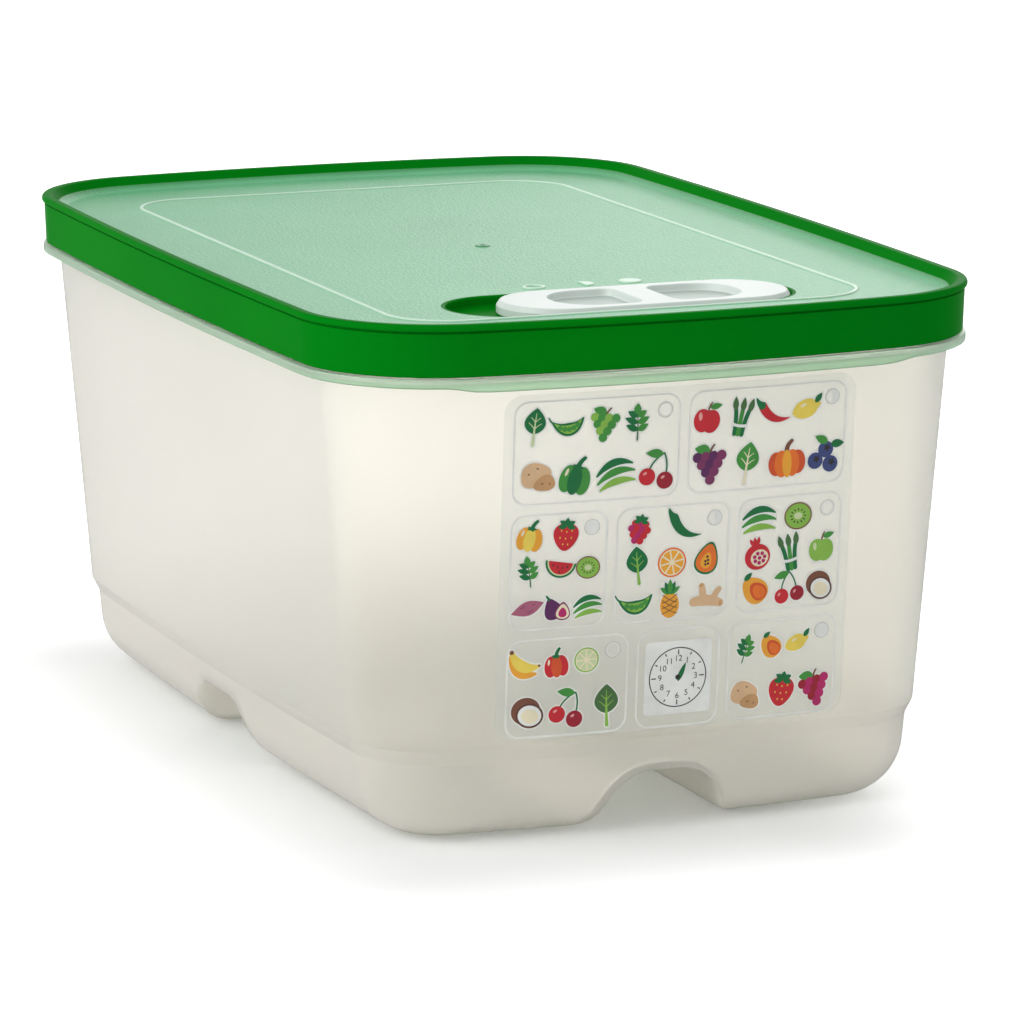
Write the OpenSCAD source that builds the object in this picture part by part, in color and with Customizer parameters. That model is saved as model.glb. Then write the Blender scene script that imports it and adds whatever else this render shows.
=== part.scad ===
// Produce storage bin: a drafted, translucent container on four feet, a press-on lid with a
// vent recess, a three-position vent slider and a printed storage chart on the front wall.
// Frame: +Z up, origin at the centre of the footprint, the chart faces -Y.

/* [Overall size] */
// Width over the lid's top bead
body_w = 192; // [170:1:240]
// Length over the lid's top bead, at the middle of the short sides
body_l = 297; // [265:1:375]
// Height from the feet to the lid's crest
body_h = 141; // [120:1:190]
// Corner radius of the lid's top bead
corner_r = 39; // [36:0.5:48]
// Outward bow of each long side
bow_long = 3.6; // [2:0.1:6]
// Outward bow of each short side
bow_short = 8.4; // [5:0.1:11]

/* [Container] */
// Wall and floor thickness
wall_t = 1.8; // [1.4:0.1:2.2]
// Draft of the tall walls, in degrees
wall_draft = 4.7; // [4:0.1:5.2]
// Height of the ledge where the tall wall meets the base
step_z = 26.5; // [25:0.5:32]
// How far the ledge steps in
step_in = 2; // [1.2:0.1:2.6]
// Height of the ledge's slope
step_h = 4; // [3:0.25:5]
// Draft of the base below the ledge, in degrees
base_draft = 5.5; // [1:0.5:8]
// Radius between the base's side and the feet
base_fillet = 16.5; // [12:0.5:18]

/* [Air channels] */
// Height of the channels' crown above the table
arch_h = 16.5; // [15:0.5:18]
// Half width of the crown's flat middle, front to back
arch_flat = 3.5; // [1:0.5:6]
// Half width of the crown's flat middle, side to side
arch_flat_side = 9; // [4:0.5:14]
// Radius of the channels' shoulders
arch_r = 14; // [12:0.5:16]
// Radius of the feet's inner corners
foot_r = 8; // [6:0.5:10]

/* [Rim and flange] */
// Height of the lid's green band, crest to lower edge
band_h = 13.8; // [12:0.2:17]
// Height of the flange's outer face
flange_h = 2.5; // [2.2:0.1:3.4]
// Thickness of the flange's plate
flange_t = 1.6; // [1.2:0.1:2]
// Thickness of the flange's turned-down edge
flange_lip_t = 1.4; // [1:0.1:1.8]
// Inset of the flange's edge from the lid's bead
flange_in = 0.3; // [0.1:0.1:0.6]
// Inset of the tall wall's top from the lid's bead
wall_in = 5; // [4.8:0.1:5.6]
// Inset of the upright rim from the lid's bead
rim_in = 2.6; // [2.4:0.1:2.9]
// Half width of the deeper finger grip under each short side's flange
grip_half = 62; // [40:1:66]
// How far the finger grip hangs below the flange
grip_h = 1.2; // [0.6:0.1:2]

/* [Lid] */
// Thickness of the lid's top panel
panel_t = 1.8; // [1.5:0.1:2.1]
// Depth of the panel below the crest
panel_drop = 3.9; // [3.6:0.1:4.6]
// Thickness of the roof over the container's rim, and height of the top bead
bead_h = 1.8; // [1.4:0.1:2.2]
// Overhang of the top bead over the band
bead_out = 0.7; // [0.4:0.1:0.9]
// Inset of the band's lower edge
band_in = 1.1; // [0.9:0.1:1.3]
// Width of the rim's crest
crest_w = 3.2; // [2.8:0.1:3.6]
// Radius of the bead's edges
bead_r = 0.4; // [0.2:0.1:0.6]
// Thickness of the sealing wall that dips inside the container's rim
plug_t = 1.5; // [1.2:0.1:1.8]
// Depth of the sealing wall below the panel's top
plug_h = 7.4; // [6:0.2:8]
// Clearance between the lid and the container
lid_gap = 0.3; // [0.25:0.05:0.4]
// Half width of the raised line on the panel
line_x = 67.3; // [62:0.1:72]
// Distance of the raised line's ends from the ends of the lid
line_end = 30.5; // [27:0.5:36]
// Corner radius of the raised line
line_r = 18; // [14:1:22]
// Width of the raised line
line_w = 1; // [0.8:0.1:1.4]
// Height of the raised line and of the marks
line_h = 0.35; // [0.2:0.05:0.5]
// Radius of the round mark at the panel's centre
gate_r = 2.2; // [1.5:0.1:3]
// Radius of the three marks for closed, half open and open
mark_r = 3.2; // [2:0.2:4]
// Distance between the three marks
mark_pitch = 14; // [10:1:18]
// Distance from the vent recess to the marks' centres
mark_gap = 9; // [6:0.5:12]

/* [Vent] */
// Length of the vent slider's base plate
slider_l = 82; // [78:1:90]
// Width of the vent slider's base plate
slider_w = 33.4; // [32:0.2:36]
// How far the slider travels from closed to open
vent_travel = 14; // [12:0.5:15]
// Running clearance round the slider
slider_gap = 0.3; // [0.25:0.05:0.4]
// Depth of the recess below the panel
recess_d = 2.7; // [2.5:0.1:3]
// Wall and floor thickness of the recess
recess_t = 1.6; // [1.4:0.1:1.8]
// Distance from the raised line to the recess
line_gap = 1.2; // [0.8:0.1:2]
// Clearance under the slider, and over its tongues
slide_gap_z = 0.2; // [0.15:0.05:0.3]
// How far the slider's raised face stands above the panel
slider_proud = 0.9; // [0.6:0.1:1.2]
// Width of the low lip round the slider's raised face
slider_lip = 1.2; // [0.8:0.1:1.6]
// Depth of that lip below the panel
lip_drop = 0.4; // [0.2:0.1:0.6]
// Width of the slider's top beside each finger well, lip included
well_rim = 4.6; // [4:0.2:6]
// Thickness of the finger wells' floors
well_floor_t = 1.6; // [1:0.1:2]
// Distance from the slider's end to each finger well
well_end = 14.5; // [12.5:0.5:18]
// Width of the grip bar between the wells
bridge_w = 9; // [7:0.2:11]
// Corner radius of the wells beside the grip bar
well_r = 4; // [3:0.5:5]
// Length of the tongues that hold the slider in its grooves
tongue_l = 44; // [36:1:46]
// How far the tongues stand out
tongue_out = 0.7; // [0.5:0.1:0.9]
// Thickness of the tongues
tongue_t = 1; // [0.8:0.1:1.1]
// Width of the pry notch in the recess's edge
notch_w = 6; // [4:0.5:8]
// Length of the pry notch, and its depth below the panel
notch_d = 1; // [0.6:0.1:1.1]
// Width of each air slot, along the slider's travel
slot_w = 10; // [8:0.25:11]
// Length of each air slot, across the travel
slot_l = 6.5; // [5:0.5:7.5]

/* [Storage chart] */
// Width of the printed film
chart_w = 99; // [80:1:104]
// Margin between the film and the ledge, and between the film and the finger grip
chart_margin = 2; // [1.5:0.1:6]
// Thickness of the printed film
chart_t = 0.15; // [0.1:0.05:0.3]
// Gap left between the film and the wall
chart_gap = 0.05; // [0.03:0.01:0.08]

/* [Hidden] */

// Steps of each quarter of the outline: half a long side, one corner, half a short side
long_steps = 3;
corner_steps = 10;
short_steps = 4;
ring_count = 4 * (long_steps + corner_steps + short_steps);
// Steps of a rounded corner in section, and segments of a true circle
arc_steps = 8;
smooth = 64;
over = 1;

// The outline: four shallow arcs joined by corner arcs, worked out for the bead itself.
// Every other outline lies a stated inset inside it and shares its centres.
long_r = (pow(body_l / 2, 2) + pow(bow_long, 2)) / (2 * bow_long);
short_r = (pow(body_w / 2, 2) + pow(bow_short, 2)) / (2 * bow_short);
long_c = [body_w / 2 - long_r, 0];
short_c = [0, body_l / 2 - short_r];
centres_d = norm(short_c - long_c);
reach_l = long_r - corner_r;
reach_s = short_r - corner_r;
along_d = (pow(reach_l, 2) - pow(reach_s, 2) + pow(centres_d, 2)) / (2 * centres_d);
across_d = sqrt(pow(reach_l, 2) - pow(along_d, 2));
dir_d = (short_c - long_c) / centres_d;
corner_c = long_c + along_d * dir_d + across_d * [-dir_d[1], dir_d[0]];
long_a = atan2(corner_c[1] - long_c[1], corner_c[0] - long_c[0]);
short_a = atan2(corner_c[1] - short_c[1], corner_c[0] - short_c[0]);

// Heights
band_z = body_h - band_h;
flange_top = band_z - lid_gap;
flange_low = flange_top - flange_h;
plate_low = flange_top - flange_t;
roof_z = body_h - bead_h;
rim_top = roof_z - lid_gap;
panel_z = body_h - panel_drop;
plug_low = panel_z - plug_h;
recess_z = panel_z - recess_d;

// Insets
step_inset = wall_in + (plate_low - step_z) * tan(wall_draft);
base_inset = step_inset + step_in;
base_top = step_z - step_h;
foot_inset = base_inset + (base_top - base_fillet * (1 - sin(base_draft))) * tan(base_draft)
    + base_fillet * cos(base_draft);
band_inner = rim_in - lid_gap;
plug_in = rim_in + wall_t + lid_gap;
panel_in = plug_in + plug_t;
rim_bevel = wall_t / 2;

// The vent: the recess takes the slider plus its travel, and the slider rests closed at its +X end
recess_l = slider_l + vent_travel + 2 * slider_gap;
recess_w = slider_w + 2 * slider_gap;
line_y = body_l / 2 - line_end;
recess_y = -(line_y - line_w - line_gap - recess_w / 2);
slider_x = vent_travel / 2;
slider_z = recess_z + slide_gap_z;
slider_top = panel_z + slider_proud;
lip_z = panel_z - lip_drop;
well_w = slider_w - 2 * well_rim;
well_l = slider_l / 2 - well_end - bridge_w / 2;
well_x = bridge_w / 2 + well_l / 2;
groove_t = tongue_t + 2 * slide_gap_z;
slot_y = -well_w / 2 + slot_l / 2 + slide_gap_z;

// Points on the outline at an inset, counterclockwise from the middle of the +X side
function on_arc(centre, radius, angles) = [for (a = angles) centre + radius * [cos(a), sin(a)]];

function steps_between(from, to, n) = [for (i = [0 : n - 1]) from + (to - from) * i / n];

function quarter(inset) = concat(
    on_arc(long_c, long_r - inset, steps_between(0, long_a, long_steps)),
    on_arc(corner_c, corner_r - inset, steps_between(long_a, short_a, corner_steps)),
    on_arc(short_c, short_r - inset, steps_between(short_a, 90, short_steps)),
    [short_c + [0, short_r - inset]]
);

function outline(inset) =
    let (q = quarter(inset), n = len(q) - 1)
    concat(
        [for (i = [0 : n - 1]) q[i]],
        [for (i = [n : -1 : 1]) [-q[i][0], q[i][1]]],
        [for (i = [0 : n - 1]) [-q[i][0], -q[i][1]]],
        [for (i = [n : -1 : 1]) [q[i][0], -q[i][1]]]
    );

// A closed solid through rings given as [inset, height], capped flat at the first and the last
module rounds(side) {
    n = ring_count;
    m = len(side);
    points = [for (s = side, p = outline(s[0])) [p[0], p[1], s[1]]];
    walls = [
        for (i = [0 : m - 2], j = [0 : n - 1])
            [i * n + j, (i + 1) * n + j, (i + 1) * n + (j + 1) % n, i * n + (j + 1) % n]
    ];
    first = [for (j = [0 : n - 1]) j];
    last = [for (j = [n - 1 : -1 : 0]) (m - 1) * n + j];
    polyhedron(points, concat([first], walls, [last]));
}

// The rounding between the feet and the base's side, about the fillet's centre, floor first
function foot_arc(r) = [
    for (i = [0 : arc_steps])
        let (a = 90 - (90 - base_draft) * i / arc_steps)
        [foot_inset - r * cos(a), base_fillet - r * sin(a)]
];

// The container's outer side from the feet to the rim, then its inner side back to the floor
function outer_side() = concat(
    foot_arc(base_fillet),
    [
        [base_inset, base_top],
        [step_inset, step_z],
        [wall_in, plate_low],
        [flange_in + flange_lip_t, plate_low],
        [flange_in + flange_lip_t, flange_low],
        [flange_in, flange_low],
        [flange_in, flange_top],
        [rim_in, flange_top],
        [rim_in, rim_top]
    ]
);

function inner_side(t) = concat(
    [
        [rim_in + t - rim_bevel, rim_top],
        [rim_in + t, rim_top - 2 * rim_bevel],
        [rim_in + t, flange_top],
        [wall_in + t, plate_low],
        [step_inset + t, step_z],
        [base_inset + t, base_top]
    ],
    reverse(foot_arc(base_fillet - t))
);

function reverse(list) = [for (i = [len(list) - 1 : -1 : 0]) list[i]];

// One channel's section, grown by a thickness: a flat crown with round shoulders that flow into
// the feet
function arch_section(flat, grow) =
    let (
        shoulder_z = arch_h - arch_r,
        foot_x = flat + sqrt(pow(arch_r + foot_r, 2) - pow(foot_r - shoulder_z, 2)),
        meet_a = atan2(foot_r - shoulder_z, foot_x - flat),
        low = grow > 0 ? grow / 2 : -over,
        foot = [
            for (i = [0 : arc_steps])
                let (a = 270 - (90 - meet_a) * i / arc_steps)
                [foot_x + (foot_r - grow) * cos(a), foot_r + (foot_r - grow) * sin(a)]
        ],
        shoulder = [
            for (i = [1 : arc_steps])
                let (a = meet_a + (90 - meet_a) * i / arc_steps)
                [flat + (arch_r + grow) * cos(a), shoulder_z + (arch_r + grow) * sin(a)]
        ],
        right = concat([[foot_x, low]], foot, shoulder)
    )
    concat(right, [for (p = reverse(right)) [-p[0], p[1]]]);

// The two crossing channels, cut or raised right across the base
module channels(grow) {
    rotate([90, 0, 0])
        linear_extrude(body_l + 2 * over, center = true) polygon(arch_section(arch_flat, grow));
    rotate([90, 0, 90])
        linear_extrude(body_w + 2 * over, center = true) polygon(arch_section(arch_flat_side, grow));
}

// The part of the raised floor that lies inside the container, sunk halfway into its walls
module raised_floor() {
    intersection() {
        rounds(reverse(inner_side(wall_t / 2)));
        channels(wall_t);
    }
}

// The deeper stretch of the flange's edge in the middle of the short side at +Y
module finger_grip() {
    half_a = asin(grip_half / short_r);
    side_in = flange_in + flange_lip_t / 4;
    side_out = flange_in + flange_lip_t * 3 / 4;
    angles = [for (i = [0 : 2 * short_steps]) 90 - half_a + half_a * i / short_steps];
    translate([0, 0, flange_low - grip_h])
        linear_extrude(grip_h + flange_h / 2)
            polygon(concat(
                on_arc(short_c, short_r - side_in, angles),
                reverse(on_arc(short_c, short_r - side_out, angles))
            ));
}

module container() {
    color([0.93, 0.92, 0.88, 0.55]) {
        difference() {
            union() {
                rounds(concat(outer_side(), inner_side(wall_t)));
                raised_floor();
                finger_grip();
                mirror([0, 1, 0]) finger_grip();
            }
            channels(0);
        }
    }
}

// The lid's section from the panel's underside, round the channel for the container's rim and
// over the crest, to the panel's top
function lid_side() = [
    [panel_in, panel_z - panel_t],
    [panel_in, plug_low],
    [plug_in + plug_t / 3, plug_low],
    [plug_in, plug_low + plug_t],
    [plug_in, roof_z - 2 * rim_bevel - lid_gap],
    [plug_in - rim_bevel, roof_z],
    [band_inner, roof_z],
    [band_inner, band_z],
    [band_in, band_z],
    [bead_out, roof_z],
    [bead_r, roof_z],
    [0, roof_z + bead_r],
    [0, body_h - bead_r],
    [bead_r, body_h],
    [crest_w, body_h],
    [panel_in + bead_r, panel_z]
];

// A flat rectangle with rounded corners, centred on the origin
module round_rect(w, l, r) {
    square([w - 2 * r, l], center = true);
    square([w, l - 2 * r], center = true);
    for (sx = [-1, 1], sy = [-1, 1])
        translate([sx * (w / 2 - r), sy * (l / 2 - r)]) circle(r, $fn = smooth);
}

// A bar with fully round ends along X
module stadium(l, w, h) {
    linear_extrude(h) {
        square([l - w, w], center = true);
        for (s = [-1, 1]) translate([s * (l - w) / 2, 0]) circle(w / 2, $fn = smooth);
    }
}

// The raised line that frames the middle of the panel
module raised_line() {
    translate([0, 0, panel_z - line_h])
        linear_extrude(2 * line_h)
            difference() {
                round_rect(2 * line_x, 2 * line_y, line_r);
                round_rect(2 * (line_x - line_w), 2 * (line_y - line_w), line_r - line_w);
            }
}

// Three raised marks behind the vent: a ring for open, a half disc, and a full disc for closed
module position_marks() {
    translate([0, recess_y + recess_w / 2 + mark_gap, panel_z - line_h]) {
        translate([-mark_pitch, 0, 0])
            difference() {
                cylinder(2 * line_h, r = mark_r, $fn = smooth);
                translate([0, 0, -over])
                    cylinder(2 * line_h + 2 * over, r = mark_r - line_w, $fn = smooth);
            }
        difference() {
            cylinder(2 * line_h, r = mark_r, $fn = smooth);
            translate([-2 * mark_r, -mark_r, -over])
                cube([2 * mark_r, 2 * mark_r, 2 * line_h + 2 * over]);
        }
        translate([mark_pitch, 0, 0]) cylinder(2 * line_h, r = mark_r, $fn = smooth);
    }
}

// The two air slots, centred on the slider's finger wells
module air_slots(low, high) {
    for (s = [-1, 1])
        translate([s * well_x - slot_w / 2, slot_y - slot_l / 2, low])
            cube([slot_w, slot_l, high - low]);
}

module lid() {
    color([0.1, 0.55, 0.2]) {
        difference() {
            union() {
                rounds(lid_side());
                translate([0, recess_y, recess_z - recess_t])
                    stadium(recess_l + 2 * recess_t, recess_w + 2 * recess_t, recess_d);
                raised_line();
                translate([0, 0, panel_z - line_h])
                    cylinder(2 * line_h, r = gate_r, $fn = smooth);
                position_marks();
            }
            translate([0, recess_y, recess_z])
                stadium(recess_l, recess_w, recess_d + over);
            // Grooves for the slider's tongues
            translate([0, recess_y, recess_z + groove_t / 2])
                cube([
                    tongue_l + vent_travel + 2 * slider_gap,
                    recess_w + 2 * tongue_out,
                    groove_t
                ], center = true);
            // The pry notch, at the middle of the recess's edge nearest the chart
            translate([-notch_w / 2, recess_y - recess_w / 2 - notch_d, panel_z - notch_d])
                cube([notch_w, 2 * notch_d, notch_d + over]);
            // The slots meet the slider's own when it is open
            translate([slider_x - vent_travel, recess_y, 0])
                air_slots(recess_z - recess_t - over, recess_z + over);
        }
    }
}

// One finger well: round at the slider's end, with small corners beside the grip bar
module finger_well() {
    linear_extrude(slider_top) {
        translate([well_l / 2 - well_w / 2, 0]) circle(well_w / 2, $fn = smooth);
        translate([-well_l / 2, -well_w / 2 + well_r])
            square([well_r, well_w - 2 * well_r]);
        translate([-well_l / 2 + well_r, -well_w / 2])
            square([well_l - well_r - well_w / 2, well_w]);
        for (s = [-1, 1])
            translate([-well_l / 2 + well_r, s * (well_w / 2 - well_r)])
                circle(well_r, $fn = smooth);
    }
}

module vent_slider() {
    color([0.95, 0.95, 0.97]) {
        translate([slider_x, recess_y, 0]) {
            difference() {
                union() {
                    translate([0, 0, slider_z])
                        stadium(slider_l, slider_w, lip_z - slider_z);
                    translate([0, 0, slider_z])
                        stadium(slider_l - 2 * slider_lip, slider_w - 2 * slider_lip,
                            slider_top - slider_z);
                    translate([-tongue_l / 2, -slider_w / 2 - tongue_out, slider_z])
                        cube([tongue_l, slider_w + 2 * tongue_out, tongue_t]);
                }
                for (m = [0, 1])
                    mirror([m, 0, 0])
                        translate([well_x, 0, slider_z + well_floor_t]) finger_well();
                air_slots(slider_z - over, slider_z + well_floor_t + over);
            }
        }
    }
}

// Inset of the tall wall's face at a height
function wall_inset(z) = wall_in + (plate_low - z) * tan(wall_draft);

// A point on the flat facets of the front wall, at an angle about its centre, height and gap
function on_facet(a, z, gap) =
    let (
        step = (90 - short_a) / short_steps,
        middle = short_a + step * (floor((a - short_a) / step) + 1 / 2),
        radius = (short_r - wall_inset(z) + gap) * cos(step / 2) / cos(a - middle)
    )
    [radius * cos(a), -short_c[1] - radius * sin(a), z];

// The film lies on the front wall's own facets, from just above the ledge to under the grip
module storage_chart() {
    low = step_z + chart_margin;
    high = flange_low - grip_h - chart_margin;
    end_a = acos(chart_w / 2 / (short_r - wall_inset(high)));
    angles = concat(
        [end_a],
        [
            for (i = [1 : 2 * short_steps - 1])
                let (a = short_a + (90 - short_a) * i / short_steps)
                if (a > end_a && a < 180 - end_a) a
        ],
        [180 - end_a]
    );
    n = len(angles);
    sheet = [
        for (z = [low, high], gap = [chart_gap, chart_gap + chart_t], a = angles)
            on_facet(a, z, gap)
    ];
    sides = [
        for (i = [0 : n - 2], rows = [[2, 0], [1, 3], [0, 1], [3, 2]])
            [rows[0] * n + i, rows[0] * n + i + 1, rows[1] * n + i + 1, rows[1] * n + i]
    ];
    ends = [[0, n, 3 * n, 2 * n], [n - 1, 3 * n - 1, 4 * n - 1, 2 * n - 1]];
    color([0.75, 0.85, 0.75, 0.8]) polyhedron(sheet, concat(sides, ends));
}

container();
lid();
vent_slider();
storage_chart();
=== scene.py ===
"""Looks of the produce storage bin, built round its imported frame."""
import math

import bpy
import numpy as np
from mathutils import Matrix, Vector
from mathutils.geometry import delaunay_2d_cdt


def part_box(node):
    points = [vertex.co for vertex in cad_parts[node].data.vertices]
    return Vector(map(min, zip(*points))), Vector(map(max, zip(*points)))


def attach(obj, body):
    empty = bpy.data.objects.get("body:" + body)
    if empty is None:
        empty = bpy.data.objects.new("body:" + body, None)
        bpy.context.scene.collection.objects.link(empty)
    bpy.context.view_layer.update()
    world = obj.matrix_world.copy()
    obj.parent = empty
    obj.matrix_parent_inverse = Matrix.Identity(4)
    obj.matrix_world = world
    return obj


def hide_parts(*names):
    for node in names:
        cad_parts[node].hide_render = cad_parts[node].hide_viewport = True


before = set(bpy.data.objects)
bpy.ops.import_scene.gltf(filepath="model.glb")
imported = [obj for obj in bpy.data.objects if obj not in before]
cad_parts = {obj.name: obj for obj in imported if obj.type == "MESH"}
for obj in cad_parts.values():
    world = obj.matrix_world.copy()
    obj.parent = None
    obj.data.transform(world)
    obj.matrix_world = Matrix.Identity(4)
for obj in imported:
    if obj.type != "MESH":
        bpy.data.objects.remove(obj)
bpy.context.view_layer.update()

MM = 0.001
FULL_TURN = 2 * math.pi
QUARTER = math.pi / 2


# Sizes in millimetres. What the frame can say is read from it, and the rest are named here.

def box_mm(node):
    """The lowest and highest corner of a frame node, in millimetres."""
    low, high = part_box(node)
    return np.array(low) / MM, np.array(high) / MM


lid_low, lid_high = box_mm("lid")
box_low, box_high = box_mm("container")
film_low, film_high = box_mm("storage_chart")
slide_low, slide_high = box_mm("vent_slider")

WIDTH = lid_high[0] - lid_low[0]
LENGTH = lid_high[1] - lid_low[1]
CREST_Z = lid_high[2]
BAND_Z = lid_low[2]
RIM_Z = box_high[2]
CORNER_R = 39.0
BOW_LONG = 3.6
BOW_SHORT = 8.4

WALL = 1.8
WALL_DRAFT = math.tan(math.radians(4.7))
STEP_Z = 26.5
STEP_IN = 2.0
STEP_H = 4.0
BASE_DRAFT = math.radians(5.5)
BASE_FILLET = 16.5
ARCH_H = 16.5
ARCH_R = 14.0
ARCH_FLAT = 3.5
ARCH_FLAT_SIDE = 9.0
FOOT_R = 8.0
ROLLED_EDGE = 2.2
SIDE_STEPS = 12
FILLET_STEPS = 90
FLOOR_STEP = 0.2
CURVE_STEPS = 400
OUTER_ROWS = 46
INNER_ROWS = 40
GRID_STEP = 12
GRID_MARGIN = 1.2

LID_GAP = 0.3
FLANGE_IN = (WIDTH - (box_high[0] - box_low[0])) / 2
FLANGE_TOP = BAND_Z - LID_GAP
FLANGE_H = 2.5
FLANGE_LIP = 1.4
PLATE_LOW = FLANGE_TOP - 1.6
GRIP_HALF = 62.0
GRIP_H = 1.2
GRIP_FADE = 7.0
WALL_IN = 5.0
RIM_IN = 2.6

PANEL_DROP = 3.9
PANEL_T = 1.8
PANEL_Z = CREST_Z - PANEL_DROP
ROOF_Z = CREST_Z - 1.8
BAND_TOP_IN = 0.7
BAND_LOW_IN = 1.1
BAND_INNER = RIM_IN - LID_GAP
CREST_W = 3.2
PLUG_IN = RIM_IN + WALL + LID_GAP
PLUG_T = 1.5
PLUG_LOW = PANEL_Z - 7.4
PANEL_IN = 12.0
GROOVE_D = 0.45
GROOVE_H = 0.5
LINE_X = 67.3
LINE_Y = LENGTH / 2 - 30.5
LINE_R = 18.0
LINE_W = 1.1
LINE_H = 0.35
RELIEF_EDGE = 0.25

SLIDER_LIP = 1.2
SLIDER_TOP = slide_high[2]
SLIDER_LOW = slide_low[2]
SLIDER_X = (slide_high[0] + slide_low[0]) / 2
SLIDER_Y = (slide_high[1] + slide_low[1]) / 2
SLIDER_L = slide_high[0] - slide_low[0]
TONGUE = 0.7
SLIDER_W = slide_high[1] - slide_low[1] - 2 * TONGUE
SLIDER_GAP = 0.3
LIP_Z = PANEL_Z - 0.4
TRAVEL = 14.0
RECESS_Z = PANEL_Z - 2.7
RECESS_T = 1.6
RECESS_L = SLIDER_L + TRAVEL + 2 * SLIDER_GAP
RECESS_W = SLIDER_W + 2 * SLIDER_GAP
WELL_RIM = 4.6
WELL_FLOOR = SLIDER_LOW + 1.6
WELL_END = 14.5
WELL_R = 4.0
BRIDGE_W = 9.0
WELL_L = SLIDER_L / 2 - WELL_END - BRIDGE_W / 2
WELL_W = SLIDER_W - 2 * WELL_RIM
SLOT_W = 10.0
SLOT_L = 6.5
SLOT_R = 1.0
SLOT_Y = SLIDER_Y - WELL_W / 2 + SLOT_L / 2 + 0.2
WELL_SLOT_IN = 1.0
WELL_SLOT_SHIFT = 1.25
NOTCH_W = 6.0
NOTCH_D = 1.0
NOTCH_R = 0.4
ROUND_STEPS = 24
MARK_R = 3.2
MARK_RING = 1.0
MARK_PITCH = 14.0
MARK_GAP = 9.0
GATE_R = 2.2
GATE_HOLE_R = 0.7
GATE_H = 0.3

FILM_GAP = 0.05
FILM_T = 0.15


# The outline: shallow arcs joined by corner arcs. Insets share the arcs' centres.

LONG_R = ((LENGTH / 2) ** 2 + BOW_LONG ** 2) / (2 * BOW_LONG)
SHORT_R = ((WIDTH / 2) ** 2 + BOW_SHORT ** 2) / (2 * BOW_SHORT)
LONG_C = np.array([WIDTH / 2 - LONG_R, 0.0])
SHORT_C = np.array([0.0, LENGTH / 2 - SHORT_R])


def corner_centre():
    """Centre of the corner arc that touches the long side's arc and the short side's."""
    reach_l = LONG_R - CORNER_R
    reach_s = SHORT_R - CORNER_R
    span = np.linalg.norm(SHORT_C - LONG_C)
    along = (reach_l ** 2 - reach_s ** 2 + span ** 2) / (2 * span)
    across = math.sqrt(reach_l ** 2 - along ** 2)
    unit = (SHORT_C - LONG_C) / span
    return LONG_C + along * unit + across * np.array([-unit[1], unit[0]])


CORNER_C = corner_centre()
LONG_A = math.atan2(*(CORNER_C - LONG_C)[::-1])
SHORT_A = math.atan2(*(CORNER_C - SHORT_C)[::-1])


def stations():
    """Centres, radii and directions of the outline's points, counterclockwise from +X."""
    near = 34.0
    long_y = np.r_[np.linspace(0, near, 27), np.linspace(near, CORNER_C[1], 9)[1:-1]]
    short_x = np.r_[np.linspace(CORNER_C[0], near, 6)[1:-1], np.linspace(near, 0, 27)]
    long_a = np.arcsin(long_y / (LONG_R - CORNER_R))
    corner_a = np.linspace(LONG_A, SHORT_A, 25)
    short_a = np.arccos(short_x / (SHORT_R - CORNER_R))
    arcs = ((LONG_C, LONG_R, long_a), (CORNER_C, CORNER_R, corner_a), (SHORT_C, SHORT_R, short_a))
    quarter = [(c, r, np.array([math.cos(a), math.sin(a)])) for c, r, angles in arcs for a in angles]
    out = list(quarter)
    for sx, sy, part in ((-1, 1, quarter[-2::-1]), (-1, -1, quarter[1:]), (1, -1, quarter[-2:0:-1])):
        sign = np.array([sx, sy])
        out += [(c * sign, r, u * sign) for c, r, u in part]
    centres, radii, units = zip(*out)
    return np.array(centres), np.array(radii)[:, None], np.array(units)


CENTRES, RADII, UNITS = stations()
AROUND = len(CENTRES)


def outline(inset):
    """The outline's points at an inset, or at an inset for each point."""
    inset = np.broadcast_to(np.asarray(inset, float).reshape(-1, 1), (AROUND, 1))
    return CENTRES + (RADII - inset) * UNITS


# Profiles and loops

def rounded(path, steps=5):
    """A polyline of (x, y, radius) with its corners rounded to arcs."""
    points = []
    for i, (x, y, r) in enumerate(path):
        here = np.array([x, y], float)
        if r <= 0 or i in (0, len(path) - 1):
            points.append(here)
            continue
        back = np.array(path[i - 1][:2], float) - here
        ahead = np.array(path[i + 1][:2], float) - here
        len_b, len_a = np.linalg.norm(back), np.linalg.norm(ahead)
        back, ahead = back / len_b, ahead / len_a
        half = math.acos(max(-1, min(1, float(back @ ahead)))) / 2
        reach = min(r / math.tan(half), 0.49 * len_b, 0.49 * len_a)
        radius = reach * math.tan(half)
        centre = here + (back + ahead) / np.linalg.norm(back + ahead) * radius / math.sin(half)
        first = here + back * reach - centre
        last = here + ahead * reach - centre
        turn = math.atan2(first[0] * last[1] - first[1] * last[0], float(first @ last))
        for k in range(steps + 1):
            a = turn * k / steps
            c, s = math.cos(a), math.sin(a)
            points.append(centre + np.array([c * first[0] - s * first[1], s * first[0] + c * first[1]]))
    return np.array(points)


def bar_loop(x, y, length, width, radii, inset=0.0, steps=12):
    """A rectangle's loop with four corner radii, from its +X +Y corner counterclockwise."""
    half_l, half_w = length / 2 - inset, width / 2 - inset
    points = []
    for q, (sx, sy) in enumerate(((1, 1), (-1, 1), (-1, -1), (1, -1))):
        r = max(min(radii[q] - inset, half_l, half_w), 0.01)
        for k in range(steps + 1):
            a = QUARTER * (q + k / steps)
            px = x + sx * (half_l - r) + r * math.cos(a)
            points.append((px, y + sy * (half_w - r) + r * math.sin(a)))
    return np.array(points)


def around(steps):
    """Angles once round, in even steps."""
    return np.linspace(0, FULL_TURN, steps, endpoint=False)


def turned(x, y, u, v, turn):
    """Points (u, v) turned by an angle and moved to (x, y)."""
    c, s = math.cos(math.radians(turn)), math.sin(math.radians(turn))
    return np.stack([x + c * u - s * v, y + s * u + c * v], 1)


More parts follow.
